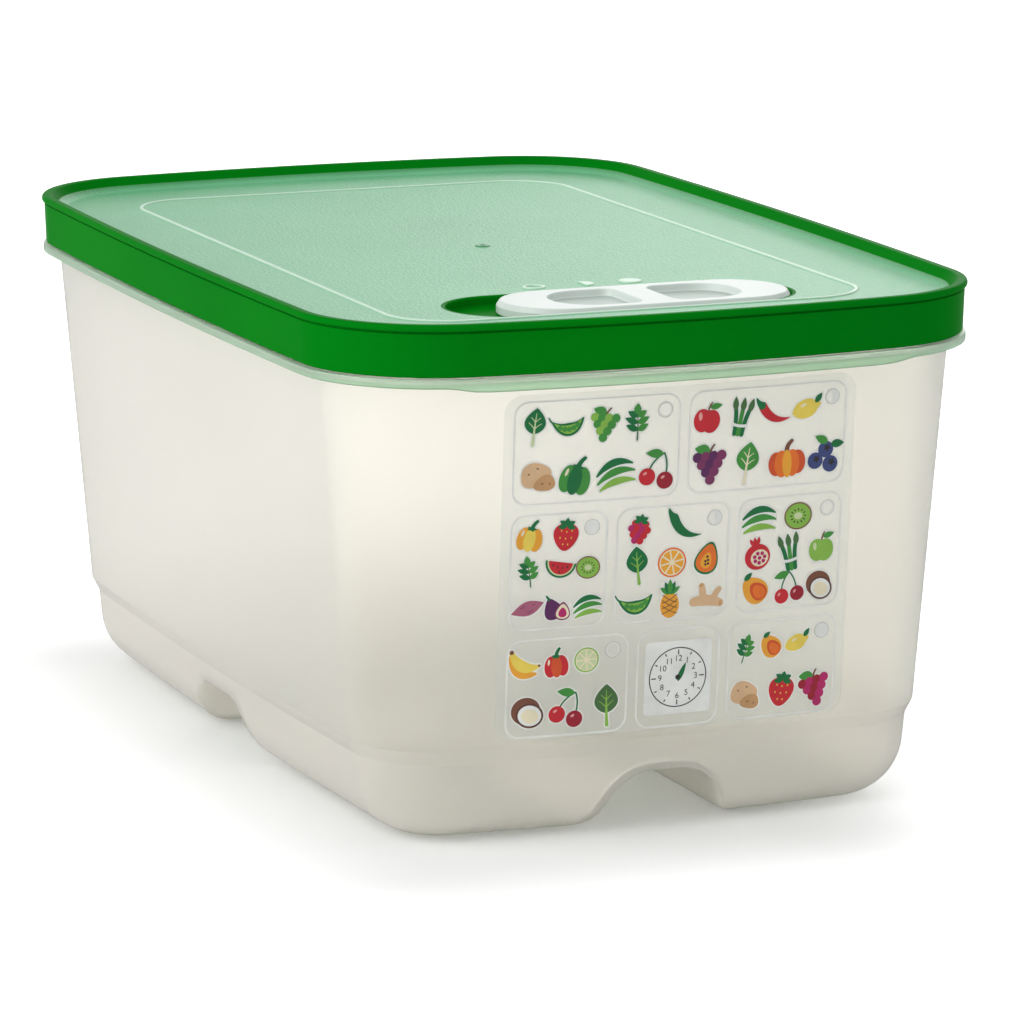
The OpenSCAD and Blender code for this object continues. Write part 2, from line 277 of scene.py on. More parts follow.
def oval(x, y, a, b=None, turn=0.0, steps=26):
    """An ellipse of two half lengths, or a circle of one."""
    t = around(steps)
    return turned(x, y, a * np.cos(t), (a if b is None else b) * np.sin(t), turn)


def lobed(x, y, r, lobes, depth, turn=0.0, squash=1.0):
    """A round shape with soft lobes."""
    t = around(72)
    reach = r * (1 + depth * np.cos(lobes * t + math.radians(turn)))
    return np.stack([x + reach * np.cos(t), y + squash * reach * np.sin(t)], 1)


def sweep(p0, p1, p2, w0, w1, belly=0.0):
    """A band along a curve, with its half widths at the ends and what it gains between them."""
    t = np.linspace(0, 1, 16)[:, None]
    p0, p1, p2 = (np.array(p, float) for p in (p0, p1, p2))
    line = (1 - t) ** 2 * p0 + 2 * t * (1 - t) * p1 + t ** 2 * p2
    run = np.gradient(line, axis=0)
    run /= np.linalg.norm(run, axis=1)[:, None]
    side = np.stack([-run[:, 1], run[:, 0]], 1)
    half = w0 + (w1 - w0) * t + belly * np.sin(math.pi * t)
    cap = np.linspace(0, math.pi, 7)[1:-1, None]
    ahead = line[-1] + half[-1] * (np.cos(cap) * side[-1] + np.sin(cap) * run[-1])
    behind = line[0] - half[0] * (np.cos(cap) * side[0] + np.sin(cap) * run[0])
    return np.vstack([line + half * side, ahead, (line - half * side)[::-1], behind])[::-1]


def leaf(x0, y0, x1, y1, wide):
    """A blade from its stalk to its tip, as wide as said on either side of its middle."""
    start, tip = np.array([x0, y0], float), np.array([x1, y1], float)
    side = np.array([-(y1 - y0), x1 - x0]) / np.linalg.norm(tip - start)
    t = np.linspace(0, 1, 15)[:, None]
    line = start + (tip - start) * t
    half = wide * np.sin(math.pi * t ** 0.8) ** 0.85
    return np.vstack([line + half * side, (line - half * side)[-2:0:-1]])[::-1]


def drop(x, y, r, taper, turn=0.0, tall=1.0):
    """A rounded pear shape: its thin end points up before it is turned."""
    t = around(40)
    return turned(x, y, r * np.sin(t) * (1 - taper * np.cos(t)), r * tall * np.cos(t), turn)[::-1]


def wedge(x, y, r, start, turn, steps=14, point=0.0):
    """A slice of a disc, or the half of one."""
    a = np.radians(np.linspace(start, start + turn, steps))
    arc = np.stack([x + r * np.cos(a), y + r * np.sin(a)], 1)
    if turn >= 180:
        return arc
    middle = math.radians(start + turn / 2)
    return np.vstack([arc, [[x + point * math.cos(middle), y + point * math.sin(middle)]]])


def winding(points, loops):
    """How often the loops go round each point, so that holes count as nothing."""
    count = np.zeros(len(points), int)
    x, y = points[:, 0], points[:, 1]
    for loop in loops:
        for (x0, y0), (x1, y1) in zip(loop, np.roll(loop, -1, axis=0)):
            if y0 == y1:
                continue
            left = x < (x1 - x0) * (y - y0) / (y1 - y0) + x0
            count += (left & (y0 <= y) & (y < y1)).astype(int)
            count -= (left & (y1 <= y) & (y < y0)).astype(int)
    return count


def meshed(loops, extra):
    """Triangulates flat closed loops, with extra points among them."""
    points, edges = [], []
    for loop in loops:
        start = len(points)
        points += list(loop)
        edges += [(start + j, start + (j + 1) % len(loop)) for j in range(len(loop))]
    return delaunay_2d_cdt([Vector(p) for p in (*points, *extra)], edges, [], 0, 1e-7)


def linked(name, data):
    """A new object in the scene."""
    piece = bpy.data.objects.new(name, data)
    bpy.context.scene.collection.objects.link(piece)
    return piece


class Form:
    """Collects rings of points and the faces between them, in millimetres."""

    def __init__(self):
        self.points = []
        self.faces = []
        self.paint = []

    def ring(self, xy, z):
        """Adds a ring of points at a height, or at a height for each, and returns their numbers."""
        z = np.broadcast_to(z, (len(xy),))
        start = len(self.points)
        self.points += [(p[0], p[1], h) for p, h in zip(xy, z)]
        return np.arange(start, start + len(xy))

    def bridge(self, a, b, paint=0):
        """Joins two closed rings that have as many points as each other."""
        n = len(a)
        for j in range(n):
            k = (j + 1) % n
            self.faces.append((a[j], a[k], b[k], b[j]))
            self.paint.append(paint)

    def stack(self, rings, paint=0):
        for a, b in zip(rings, rings[1:]):
            self.bridge(a, b, paint)

    def fill(self, outer, holes=(), up=True, paint=0, extra=()):
        """Fills a flat or nearly flat ring, leaving holes, with extra points inside."""
        numbers = [i for loop in (outer, *holes, extra) for i in loop]
        loops = [np.array([self.points[i][:2] for i in loop]) for loop in (outer, *holes)]
        result = meshed(loops, [self.points[i][:2] for i in extra])
        places, triangles, origins = result[0], result[2], result[3]
        middles = np.array([np.mean([places[i] for i in t], axis=0) for t in triangles])
        keep = winding(middles, loops[:1]) != 0
        for loop in loops[1:]:
            keep &= winding(middles, [loop]) == 0
        for t, wanted in zip(triangles, keep):
            if wanted:
                face = [numbers[origins[i][0]] for i in t]
                self.faces.append(tuple(face if up else face[::-1]))
                self.paint.append(paint)

    def build(self, name, body, materials, replaces=None, slot=None, smooth=35):
        """Makes the object, lets it ride on its body and gives it its finish."""
        mesh = bpy.data.meshes.new(name)
        points = [tuple(float(v) * MM for v in p) for p in self.points]
        mesh.from_pydata(points, [], [tuple(map(int, f)) for f in self.faces])
        for material in materials:
            mesh.materials.append(material)
        mesh.polygons.foreach_set("material_index", self.paint)
        mesh.update()
        piece = linked(name, mesh)
        mesh.polygons.foreach_set("use_smooth", [True] * len(mesh.polygons))
        mesh.set_sharp_from_angle(angle=math.radians(smooth))
        normals = piece.modifiers.new("flat faces stay flat", "WEIGHTED_NORMAL")
        normals.keep_sharp = True
        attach(piece, body)
        if replaces:
            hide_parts(replaces)


# Materials

def linear(rgb):
    """A screen colour, 0 to 255, as linear light."""
    shares = [v / 255 for v in rgb]
    return (*(v / 12.92 if v <= 0.04 else ((v + 0.055) / 1.055) ** 2.4 for v in shares), 1.0)


class Nodes:
    """The node tree of a material or world."""

    def __init__(self, owner):
        owner.use_nodes = True
        self.tree = owner.node_tree

    def add(self, kind, feeds=(), **settings):
        """Adds a node with its settings, and feeds its inputs."""
        node = self.tree.nodes.new("ShaderNode" + kind)
        for name, value in settings.items():
            setattr(node, name, value)
        self.feed(node, feeds)
        return node.outputs

    def feed(self, node, feeds):
        """Gives a node's inputs their values, or links them to other nodes' outputs."""
        for name, value in dict(feeds).items():
            if isinstance(value, bpy.types.NodeSocket):
                self.tree.links.new(value, node.inputs[name])
            else:
                node.inputs[name].default_value = value


def plastic(name, tint, other, scale, roughness, grain, grain_scale, **sockets):
    """Moulded plastic: a colour that drifts slightly, mottled gloss and a fine grain."""
    material = bpy.data.materials.new(name)
    nodes = Nodes(material)
    shader = nodes.tree.nodes["Principled BSDF"]
    place = nodes.add("TexCoord")["Object"]
    drift = nodes.add("TexNoise", {"Vector": place, "Scale": scale, "Detail": 3})["Fac"]
    tints = nodes.add("ValToRGB", {"Fac": drift})["Color"]
    ramp = tints.node.color_ramp.elements
    ramp[0].color, ramp[0].position = linear(tint), 0.3
    ramp[1].color, ramp[1].position = linear(other), 0.7
    gloss = nodes.add("MapRange", {"Value": drift, "To Min": roughness * 0.85, "To Max": roughness * 1.15})
    fine = nodes.add("TexNoise", {"Vector": place, "Scale": grain_scale, "Detail": 2})["Fac"]
    bump = nodes.add("Bump", {"Height": fine, "Strength": grain, "Distance": GRAIN_DEPTH})
    nodes.feed(shader, {"Base Color": tints, "Roughness": gloss["Result"], "Normal": bump["Normal"]})
    nodes.feed(shader, {socket.replace("_", " "): value for socket, value in sockets.items()})
    return material


def fade_painted_sheen(material, deep, low, high):
    """Turns a plastic's colour into a deeper one between two heights: on the lid, the panel's pale painted
    sheen fades into deeper green, a painted shade up the rim's slope.
    """
    nodes = Nodes(material)
    shader = nodes.tree.nodes["Principled BSDF"]
    pale = shader.inputs["Base Color"].links[0].from_socket
    height = nodes.add("SeparateXYZ", {0: nodes.add("TexCoord")["Object"]})["Z"]
    rise = nodes.add("MapRange", {"Value": height, "From Min": low * MM, "From Max": high * MM},
                     interpolation_type="SMOOTHSTEP")["Result"]
    blend = nodes.add("Mix", {"Factor": rise, "A": pale, "B": linear(deep)}, data_type="RGBA")
    nodes.feed(shader, {"Base Color": blend["Result"]})


GRAIN_DEPTH = 0.0004
GRAIN_RISE = 1.7
FROSTED = plastic("frosted_polypropylene", (253, 251, 246), (251, 249, 242), 6, 0.34, 0.06, 1500,
                  Transmission_Weight=0.88, IOR=1.3)
BASE = plastic("frosted_base", (250, 246, 240), (247, 243, 236), 6, 0.34, 0.06, 1500,
               Transmission_Weight=0.68, IOR=1.3)
# The flange plastic is tinted green: a painted reflection of the lid's green band on the clear flange.
FLANGE = plastic("frosted_flange_painted_green_reflection", (204, 236, 208), (198, 232, 203), 6, 0.34, 0.06, 1500,
                 Transmission_Weight=0.8, IOR=1.3)
GREEN = plastic("green_gloss", (2, 127, 18), (3, 119, 22), 8, 0.3, 0.03, 700,
                IOR=1.5, Specular_IOR_Level=0.003)
# The grained green is paler than the lid's plastic: partly its frosted grain, partly a painted sheen
# standing in for grazing reflection.
PANEL = plastic("green_grained_painted_sheen", (82, 173, 117), (104, 187, 136), 14, 0.3, 0.8, 1100,
                IOR=1.5, Specular_IOR_Level=0.5)
# Up the rim's slope the painted sheen fades into deeper green, which paints the slope's shade.
fade_painted_sheen(PANEL, (14, 128, 44), PANEL_Z + 0.2, PANEL_Z + GRAIN_RISE + 0.6)
LINE = plastic("green_line", (196, 228, 205), (206, 234, 214), 30, 0.3, 0.1, 900, IOR=1.5)
GATE = plastic("gate_mark", (52, 140, 84), (46, 132, 78), 30, 0.3, 0.1, 900, IOR=1.5)
MILK = plastic("milky_white", (216, 226, 220), (210, 221, 215), 20, 0.3, 0.05, 900, IOR=1.49)
# The wells' floors are a darker milky white: painted shade in the recesses of the one-piece slider.
WELL = plastic("milky_floor_painted_shade", (178, 193, 185), (172, 188, 179), 30, 0.35, 0.1, 900, IOR=1.49)


# The container: walls and flange swept round the outline, over a base with crossing channels

def section_height(u, flat, grow):
    """Height of a channel's ceiling across its width, grown by the floor's thickness."""
    u = np.abs(np.asarray(u, float))
    shoulder_z = ARCH_H - ARCH_R
    foot_x = flat + math.sqrt((ARCH_R + FOOT_R) ** 2 - (FOOT_R - shoulder_z) ** 2)
    meet = math.atan2(FOOT_R - shoulder_z, foot_x - flat)
    big, small = ARCH_R + grow, FOOT_R - grow
    meet_x = flat + big * math.cos(meet)
    crown = shoulder_z + np.sqrt(np.maximum(big ** 2 - np.maximum(u - flat, 0) ** 2, 0))
    foot = FOOT_R - np.sqrt(np.maximum(small ** 2 - np.maximum(foot_x - u, 0) ** 2, 0))
    return np.where(u <= meet_x, crown, foot)


def soft_max(a, b, reach=3.0):
    """The larger of two heights, blended where they are nearly alike."""
    t = np.clip(0.5 + 0.5 * (a - b) / reach, 0, 1)
    return a * t + b * (1 - t) + reach * t * (1 - t)


def floor_height(xy, grow):
    """Height of the floor over the feet and both channels, grown by its thickness."""
    along = section_height(xy[..., 0], ARCH_FLAT, grow)
    across = section_height(xy[..., 1], ARCH_FLAT_SIDE, grow)
    both = soft_max(along, across)
    crossing = np.minimum(along, across) > grow + 0.5
    return np.where(crossing, both, np.maximum(along, across))


STEP_IN_AT = WALL_IN + (PLATE_LOW - STEP_Z) * WALL_DRAFT
BASE_IN = STEP_IN_AT + STEP_IN
BASE_TOP = STEP_Z - STEP_H
BASE_END = 34.0
BASE_START_Z = 20.5
BASE_START_IN = BASE_IN + (BASE_TOP - BASE_START_Z) * math.tan(BASE_DRAFT)
FOOT_IN = (BASE_IN + (BASE_TOP - BASE_FILLET * (1 - math.sin(BASE_DRAFT))) * math.tan(BASE_DRAFT)
           + BASE_FILLET * math.cos(BASE_DRAFT))


def base_rows(form, thickness, count):
    """Rows from the side of the base round into its floor, with the channels' mouths rolled."""
    radius = BASE_FILLET - thickness
    start = np.array([BASE_START_IN + thickness, BASE_START_Z])
    angles = np.linspace(BASE_DRAFT, QUARTER, FILLET_STEPS)
    arc = np.stack([FOOT_IN - radius * np.cos(angles), BASE_FILLET - radius * np.sin(angles)], 1)
    wall = np.vstack([np.linspace(start, arc[0], SIDE_STEPS)[:-1], arc])
    rows = np.zeros((count, AROUND, 3))
    insets = np.arange(0, BASE_END, FLOOR_STEP)
    for j in range(AROUND):
        place = lambda i: CENTRES[j] + (RADII[j] - i[:, None]) * UNITS[j]
        above = wall[:, 1] >= floor_height(place(wall[:, 0]), thickness)
        last = len(wall) if above.all() else int(np.argmin(above))
        side = wall[:max(last, 2)]
        run = insets[insets > side[-1, 0] + FLOOR_STEP / 4]
        fillet = BASE_FILLET - np.sqrt(np.maximum(radius ** 2 - np.minimum(run - FOOT_IN, 0) ** 2, 0))
        low = np.maximum(floor_height(place(run), thickness), np.where(run < FOOT_IN, fillet, thickness))
        curve = np.vstack([side, np.stack([run, low], 1)])
        length = np.r_[0, np.cumsum(np.linalg.norm(np.diff(curve, axis=0), axis=1))]
        even = np.linspace(0, length[-1], CURVE_STEPS)
        fine = np.stack([np.interp(even, length, curve[:, k]) for k in (0, 1)], 1)
        half = max(int(ROLLED_EDGE / (even[1] - even[0])), 1)
        kernel = np.hanning(2 * half + 3)[1:-1]
        kernel /= kernel.sum()
        wide = np.pad(fine, ((half, half), (0, 0)), "reflect", reflect_type="odd")
        soft = np.stack([np.convolve(wide[:, k], kernel, "valid") for k in (0, 1)], 1)
        picks = np.linspace(0, len(soft) - 1, count)
        inset = np.interp(picks, np.arange(len(soft)), soft[:, 0])
        rows[:, j, :2] = place(inset)
        rows[:, j, 2] = np.interp(picks, np.arange(len(soft)), soft[:, 1])
    return [form.ring(row[:, :2], row[:, 2]) for row in rows]


def channel_grid(form, rim, thickness):
    """Points of the floor inside the rim, on lines that follow the channels' sections."""
    def lines(flat, limit):
        foot = flat + ARCH_R + FOOT_R
        near = [np.linspace(0, flat, 3), np.linspace(flat, foot, 22)[1:]]
        half = np.concatenate([*near, np.arange(foot + FOOT_R, limit, GRID_STEP)])
        return np.r_[-half[:0:-1], half]

    rows = lines(ARCH_FLAT_SIDE, LENGTH / 2)
    grid = np.array([(x, y) for x in lines(ARCH_FLAT, WIDTH / 2) for y in rows])
    loop = np.array([form.points[i][:2] for i in rim])
    shrunk = loop * (1 - GRID_MARGIN / np.linalg.norm(loop, axis=1))[:, None]
    grid = grid[winding(grid, [shrunk]) != 0]
    return form.ring(grid, floor_height(grid, thickness))


def grip_sag():
    """How far the flange's edge hangs lower at each point of the outline."""
    xy = outline(FLANGE_IN)
    short = np.abs(xy[:, 1]) > CORNER_C[1] - 5
    fade = np.clip((GRIP_HALF + 3 - np.abs(xy[:, 0])) / GRIP_FADE, 0, 1)
    return np.where(short, fade * GRIP_H, 0)


def make_container():
    """The box: its base outside, walls, flange, rim and all its inside as one closed skin."""
    form = Form()
    sag = grip_sag()
    lip_in = FLANGE_IN + FLANGE_LIP
    lip_low = FLANGE_TOP - FLANGE_H
    outside = rounded([
        (BASE_START_IN, BASE_START_Z, 0), (BASE_IN, BASE_TOP, 1.6), (STEP_IN_AT, STEP_Z, 0.7),
        (WALL_IN, PLATE_LOW, 1.6), (lip_in, PLATE_LOW, 0),
    ])
    lip = rounded([
        (lip_in, PLATE_LOW, 0), (lip_in, lip_low, 0.3),
        (FLANGE_IN, lip_low, 0.5), (FLANGE_IN, FLANGE_TOP, 0.5),
    ])[1:-1]
    top = rounded([
        (FLANGE_IN, lip_low, 0), (FLANGE_IN, FLANGE_TOP, 0.5), (RIM_IN, FLANGE_TOP, 0.3),
        (RIM_IN, RIM_Z, 0.6), (RIM_IN + WALL, RIM_Z, 0.8), (RIM_IN + WALL, FLANGE_TOP, 0.8),
        (WALL_IN + WALL, PLATE_LOW, 1.5), (STEP_IN_AT + WALL, STEP_Z, 1.6),
        (BASE_IN + WALL, BASE_TOP, 2.5), (BASE_START_IN + WALL, BASE_START_Z, 0),
    ])[1:]
    rings = base_rows(form, 0.0, OUTER_ROWS)[::-1]
    ledge = len(rings) - 1 + sum(z <= STEP_Z for _, z in outside[1:])
    first = len(rings) + len(outside) - 3
    last = first + len(lip) + 6
    rings += [form.ring(outline(inset), z) for inset, z in outside[1:]]
    rings += [form.ring(outline(inset), z - sag) for inset, z in lip]
    rings += [form.ring(outline(inset), z) for inset, z in top[:-1]]
    rings += base_rows(form, WALL, INNER_ROWS)
    form.stack(rings[:ledge + 1], 2)
    form.stack(rings[ledge:first + 1])
    # These flange rows take the green-tinted flange plastic, a painted reflection of the lid's band.
    form.stack(rings[first:last + 1], 1)
    form.stack(rings[last:])
    form.fill(rings[0], up=False, paint=2, extra=channel_grid(form, rings[0], 0.0))
    form.fill(rings[-1], extra=channel_grid(form, rings[-1], WALL))
    form.build("container_shell", "container", [FROSTED, FLANGE, BASE], "container", "container", 50)


# The lid

def make_lid():
    """The lid: one section swept round the outline, with the vent's recess sunk in its panel."""
    form = Form()
    groove_in = BAND_TOP_IN + GROOVE_D
    groove_z = ROOF_Z - GROOVE_H
    section = rounded([
        (PANEL_IN, PANEL_Z, 0), (PLUG_IN + PLUG_T + 0.4, PANEL_Z, 3.2), (CREST_W - 0.4, CREST_Z, 1.4),
        (0, CREST_Z, 1.1), (0, ROOF_Z, 0.6), (groove_in, ROOF_Z, 0.12), (groove_in, groove_z, 0.12),
        (BAND_TOP_IN, groove_z, 0.25), (BAND_LOW_IN, BAND_Z, 0.5), (BAND_INNER, BAND_Z, 0.3),
        (BAND_INNER, ROOF_Z, 0), (PLUG_IN - WALL / 2, ROOF_Z, 0), (PLUG_IN, ROOF_Z - WALL - LID_GAP, 0),
        (PLUG_IN, PLUG_LOW + PLUG_T, 0), (PLUG_IN + PLUG_T / 3, PLUG_LOW, 0),
        (PLUG_IN + PLUG_T, PLUG_LOW, 0), (PLUG_IN + PLUG_T, PANEL_Z - PANEL_T, 0.8),
        (PANEL_IN, PANEL_Z - PANEL_T, 0),
    ])
    glossy = next(i for i, (_, z) in enumerate(section) if z > PANEL_Z + GRAIN_RISE)
    below, above = section[glossy - 1:glossy + 1]
    part = (PANEL_Z + GRAIN_RISE - below[1]) / (above[1] - below[1])
    section = np.insert(section, glossy, below + (above - below) * part, axis=0)
    rings = [form.ring(outline(inset), z) for inset, z in section]
    # Rows below the grain's rise take the grained green, pale with painted sheen; rows above take the plain
    # green.
    for i, (high, low) in enumerate(zip(rings, rings[1:])):
        form.bridge(low, high, 1 if i < glossy else 0)
    well = rounded([(-1.2, PANEL_Z, 0), (0, PANEL_Z, 0.6), (0, RECESS_Z, 0.6), (2, RECESS_Z, 0)])
    recess = [form.ring(recess_loop(i), z) for i, z in well]
    tub_low = RECESS_Z - RECESS_T
    tub_path = rounded([(-RECESS_T, PANEL_Z - PANEL_T, 0), (-RECESS_T, tub_low, 0.8), (1, tub_low, 0)])
    tub = [form.ring(recess_bar(i), z) for i, z in tub_path]
    form.stack(recess[::-1])
    form.stack(tub)
    slots = []
    for x in well_places(SLIDER_X - TRAVEL):
        loop = bar_loop(x, SLOT_Y, SLOT_W, SLOT_L, [SLOT_R] * 4, 0, 4)
        slots.append((form.ring(loop, RECESS_Z), form.ring(loop, tub_low)))
        form.bridge(*slots[-1])
    highs, lows = zip(*slots)
    form.fill(recess[-1], highs)
    form.fill(tub[-1], lows, up=False)
    # The flat panel takes the grained green with its painted sheen.
    form.fill(rings[0], [recess[0]], paint=1)
    form.fill(rings[-1], [tub[0]], up=False)
    form.build("lid_shell", "lid", [GREEN, PANEL], "lid", "lid", 30)


def recess_bar(inset):
    """The recess's outline, round at both ends."""
    return bar_loop(0, SLIDER_Y, RECESS_L, RECESS_W, [RECESS_W / 2] * 4, inset, ROUND_STEPS)


def recess_loop(inset):
    """The recess's outline, with a small pry notch in the middle of its near side."""
    loop = recess_bar(inset)
    third = 3 * (ROUND_STEPS + 1)
    edge = SLIDER_Y - RECESS_W / 2 + inset
    w = NOTCH_W / 2 - inset
    left = np.array([(-w - NOTCH_R, edge), (-w, edge - NOTCH_R), (-w + NOTCH_R, edge - NOTCH_D)])
    return np.vstack([loop[:third], left, left[::-1] * (-1, 1), loop[third:]])


def well_places(centre):
    """The finger wells' places along X, and those of the air slots under their middles."""
    return [centre + side * (BRIDGE_W + WELL_L) / 2 for side in (-1, 1)]


def relief(name, loops, material, height=LINE_H):
    """A low raised shape on the lid's panel: an outer loop maker and, if any, an inner one."""
    form = Form()
    edge = RELIEF_EDGE
    path = [(0, -0.1), (0, height - edge), (edge * 0.4, height - edge * 0.3), (edge, height)]
    rows = [form.ring(loops[0](inset), PANEL_Z + z) for inset, z in path]
    walls = [form.ring(loop(-inset), PANEL_Z + z) for loop in loops[1:] for inset, z in path]
    form.stack(rows)
    form.stack(walls[::-1])
    form.fill(rows[0], walls[:1], up=False)
    form.fill(rows[-1], walls[-1:])
    form.build(name, "lid", [material], slot="lid", smooth=50)


def disc(x, y, radius):
    """A loop maker for a disc."""
    return lambda inset: oval(x, y, radius - inset, steps=40)


def make_lid_details():
    """The panel's raised line, the moulding's gate mark and a mark for each place of the vent."""
    inner_x, inner_y = LINE_X - LINE_W, LINE_Y - LINE_W
    relief("panel_line", [
        lambda i: bar_loop(0, 0, 2 * LINE_X, 2 * LINE_Y, [LINE_R] * 4, i, 16),
        lambda i: bar_loop(0, 0, 2 * inner_x, 2 * inner_y, [LINE_R - LINE_W] * 4, i, 16),
    ], LINE)
    relief("panel_centre_mark", [disc(0, 0, GATE_R), disc(0, 0, GATE_HOLE_R)], GATE, GATE_H)
    y = SLIDER_Y + RECESS_W / 2 + MARK_GAP
    relief("mark_open", [disc(-MARK_PITCH, y, MARK_R), disc(-MARK_PITCH, y, MARK_R - MARK_RING)], LINE)
    relief("mark_half", [lambda i: wedge(0, y, MARK_R - i, -90, 180, 41)], LINE)
    relief("mark_closed", [disc(MARK_PITCH, y, MARK_R)], LINE)


# The vent slider

def make_slider():
    """The slider: a round-ended bar with two finger wells, each with an air slot."""
    form = Form()
    bar = (SLIDER_X, SLIDER_Y, SLIDER_L, SLIDER_W, [SLIDER_W / 2] * 4)
    plate = rounded([
        (1.5, SLIDER_LOW, 0), (0, SLIDER_LOW, 0.3), (0, LIP_Z, 0.5),
        (SLIDER_LIP - 0.3, SLIDER_TOP, 0.7), (SLIDER_LIP + 2, SLIDER_TOP, 0),
    ])
    rings = [form.ring(bar_loop(*bar, i, ROUND_STEPS), z) for i, z in plate]
    form.stack(rings)
    wells, slots = [], []
    round_end = WELL_W / 2 - 0.01
    rights = [round_end, WELL_R, WELL_R, round_end]
    for x, radii in zip(well_places(SLIDER_X), (np.roll(rights, 2), rights)):
        path = rounded([
            (-1.0, SLIDER_TOP, 0), (0, SLIDER_TOP, 0.5), (0.3, WELL_FLOOR, 0.6), (0.9, WELL_FLOOR, 0),
        ])
        walls = [form.ring(bar_loop(x, SLIDER_Y, WELL_L, WELL_W, radii, i), z) for i, z in path]
        form.stack(walls[::-1])
        wells.append(walls[0])
        across, along = SLOT_W - 2 * WELL_SLOT_IN, SLOT_L - 2 * WELL_SLOT_SHIFT
        slot = bar_loop(x, SLOT_Y + WELL_SLOT_SHIFT, across, along, [SLOT_R] * 4, 0, 4)
        high = form.ring(slot, WELL_FLOOR)
        low = form.ring(slot, SLIDER_LOW)
        form.bridge(high, low)
        slots.append(low)
        # The well's floor takes the darker milky white, a painted shade.
        form.fill(walls[-1], [high], paint=1)
    form.fill(rings[-1], wells)
    form.fill(rings[0], slots, up=False)
    form.build("vent_slider_shell", "vent_slider", [MILK, WELL], "vent_slider", "vent_slider", 35)


make_container()
make_lid()
make_lid_details()
make_slider()


# The storage chart: a clear film on the front wall, printed with framed groups of produce

CHART_X = 47.0
TOP_ROW = (91.8, 119.5)
MIDDLE_ROW = (58.2, 89.4)
LOW_ROW = (29.0, 55.8)
CELL_GAP = 2.4
CELL_EDGE = 0.75
FRAME_LINE = 0.5
FRAME_R = 4.0
FILM_R = 5.0

PRINT = FILM_GAP + FILM_T
LINE_T = 0.02
INK_STEP = 0.005
RIM_T = 0.012
RIM_STEP = 0.003
RIM_WIDTH = 0.38
ICON_SIZE = 10.6
LARGEST = 1.2

SIGN_IN = 4.4
SIGN_R = 2.0
SIGN_HOLE_R = 1.6
SIGN_EDGE_R = 2.15
SIGN_EDGE_T = 0.015
SIGN_SPACE = 6.5
HALF_R = 1.62
HALF_T = 0.024

DIAL_X = 0.8
DIAL_Z = sum(LOW_ROW) / 2
DIAL_T = 0.03
DIAL_RING = (8.2, 7.9)
TILE_W = 19.0
TILE_H = 20.0
TILE_R = 1.2
TICK_OUT = (7.2, 7.4)
LONG_TICK = 6.3
SHORT_TICK = 6.9
TICK_HALF = 0.16
HAND_BACK = 1.2
HAND_TIP = (2.2, 3.9)
HUB_R = 0.7
HUB_T = 0.035
NUMBER_R = 5.1
NUMBER_H = 2.3
NUMBER_T = 0.032


def on_wall(x, z, out):
    """Y of the front wall's face at a place and height, a little way out from it."""
    inset = WALL_IN + (PLATE_LOW - z) * WALL_DRAFT
    return -(SHORT_C[1] + np.sqrt((SHORT_R - inset + out) ** 2 - x ** 2))


def resampled(loop, step=1.6):
    """A closed loop with no side longer than a step."""
    points = []
    for a, b in zip(loop, np.roll(loop, -1, axis=0)):
        count = max(int(math.ceil(np.linalg.norm(b - a) / step)), 1)
        points += [a + (b - a) * k / count for k in range(count)]
    return np.array(points)


def signed_area(loop):
    x, y = loop[:, 0], loop[:, 1]
    return 0.5 * float(np.sum(x * np.roll(y, -1) - np.roll(x, -1) * y))


def slab(form, loops, low, high, paint=0):
    """A thin closed sheet that follows the front wall between two distances from it."""
    loops = [resampled(loop) for loop in loops]
    loops = [loop if signed_area(loop) > 0 else loop[::-1] for loop in loops]
    loops = loops[:1] + [loop[::-1] for loop in loops[1:]]
    (x0, z0), (x1, z1) = loops[0].min(axis=0), loops[0].max(axis=0)
    grid = np.array([(x + 0.013, z + 0.017) for x in np.arange(math.ceil(x0 / 2) * 2, x1, 2)
                     for z in np.arange(math.ceil(z0 / 4) * 4, z1, 4)]).reshape(-1, 2)
    result = meshed(loops, grid[winding(grid, loops) > 0])
    flat = np.array([tuple(p) for p in result[0]])
    faces = np.array(result[2])
    faces = faces[winding(flat[faces].mean(axis=1), loops) > 0]
    start, n = len(form.points), len(flat)
    for out in (high, low):
        form.points += list(zip(flat[:, 0], on_wall(flat[:, 0], flat[:, 1], out), flat[:, 1]))
    sides = set()
    for a, b, c in faces.tolist():
        form.faces.append((start + a, start + b, start + c))
        form.faces.append((start + n + c, start + n + b, start + n + a))
        sides |= {(a, b), (b, c), (c, a)}
    rim = [(a, b) for a, b in sides if (b, a) not in sides]
    for a, b in sorted(rim):
        form.faces.append((start + b, start + a, start + n + a, start + n + b))
    form.paint += [paint] * (2 * len(faces) + len(rim))


# The produce on the chart: each is a list of inks and shapes, about 11 mm across

def dots(ink, places, a, b=None, steps=10):
    """Small ovals that are alike, such as seeds."""
    return [(ink, oval(x, y, a, b, steps=steps)) for x, y in places]


def banana():
    return [
        ("amber", sweep((-4.8, 1.6), (-1.8, -5.2), (4.6, -2.6), 0.8, 0.5, 1.2)),
        ("yellow", sweep((-4.9, 3.0), (-0.6, -3.2), (5.2, 0.2), 0.8, 0.5, 1.3)),
        ("brown", oval(-5.0, 3.4, 0.75)), ("brown", oval(5.3, 0.3, 0.45)),
    ]


def grapes(dark, light):
    out = [("brown", sweep((0, 2.5), (0.2, 4), (1.4, 5.2), 0.35, 0.25)),
           ("green", leaf(0.2, 3.6, -4.2, 4.8, 1.5))]
    for row in range(4):
        for i in range(4 - row):
            x, y = (i - (3 - row) / 2) * 2.3, 2.2 - 2.1 * row
            out.append(((dark, light)[(i + row) % 2], oval(x, y, 1.4, steps=18)))
    return out


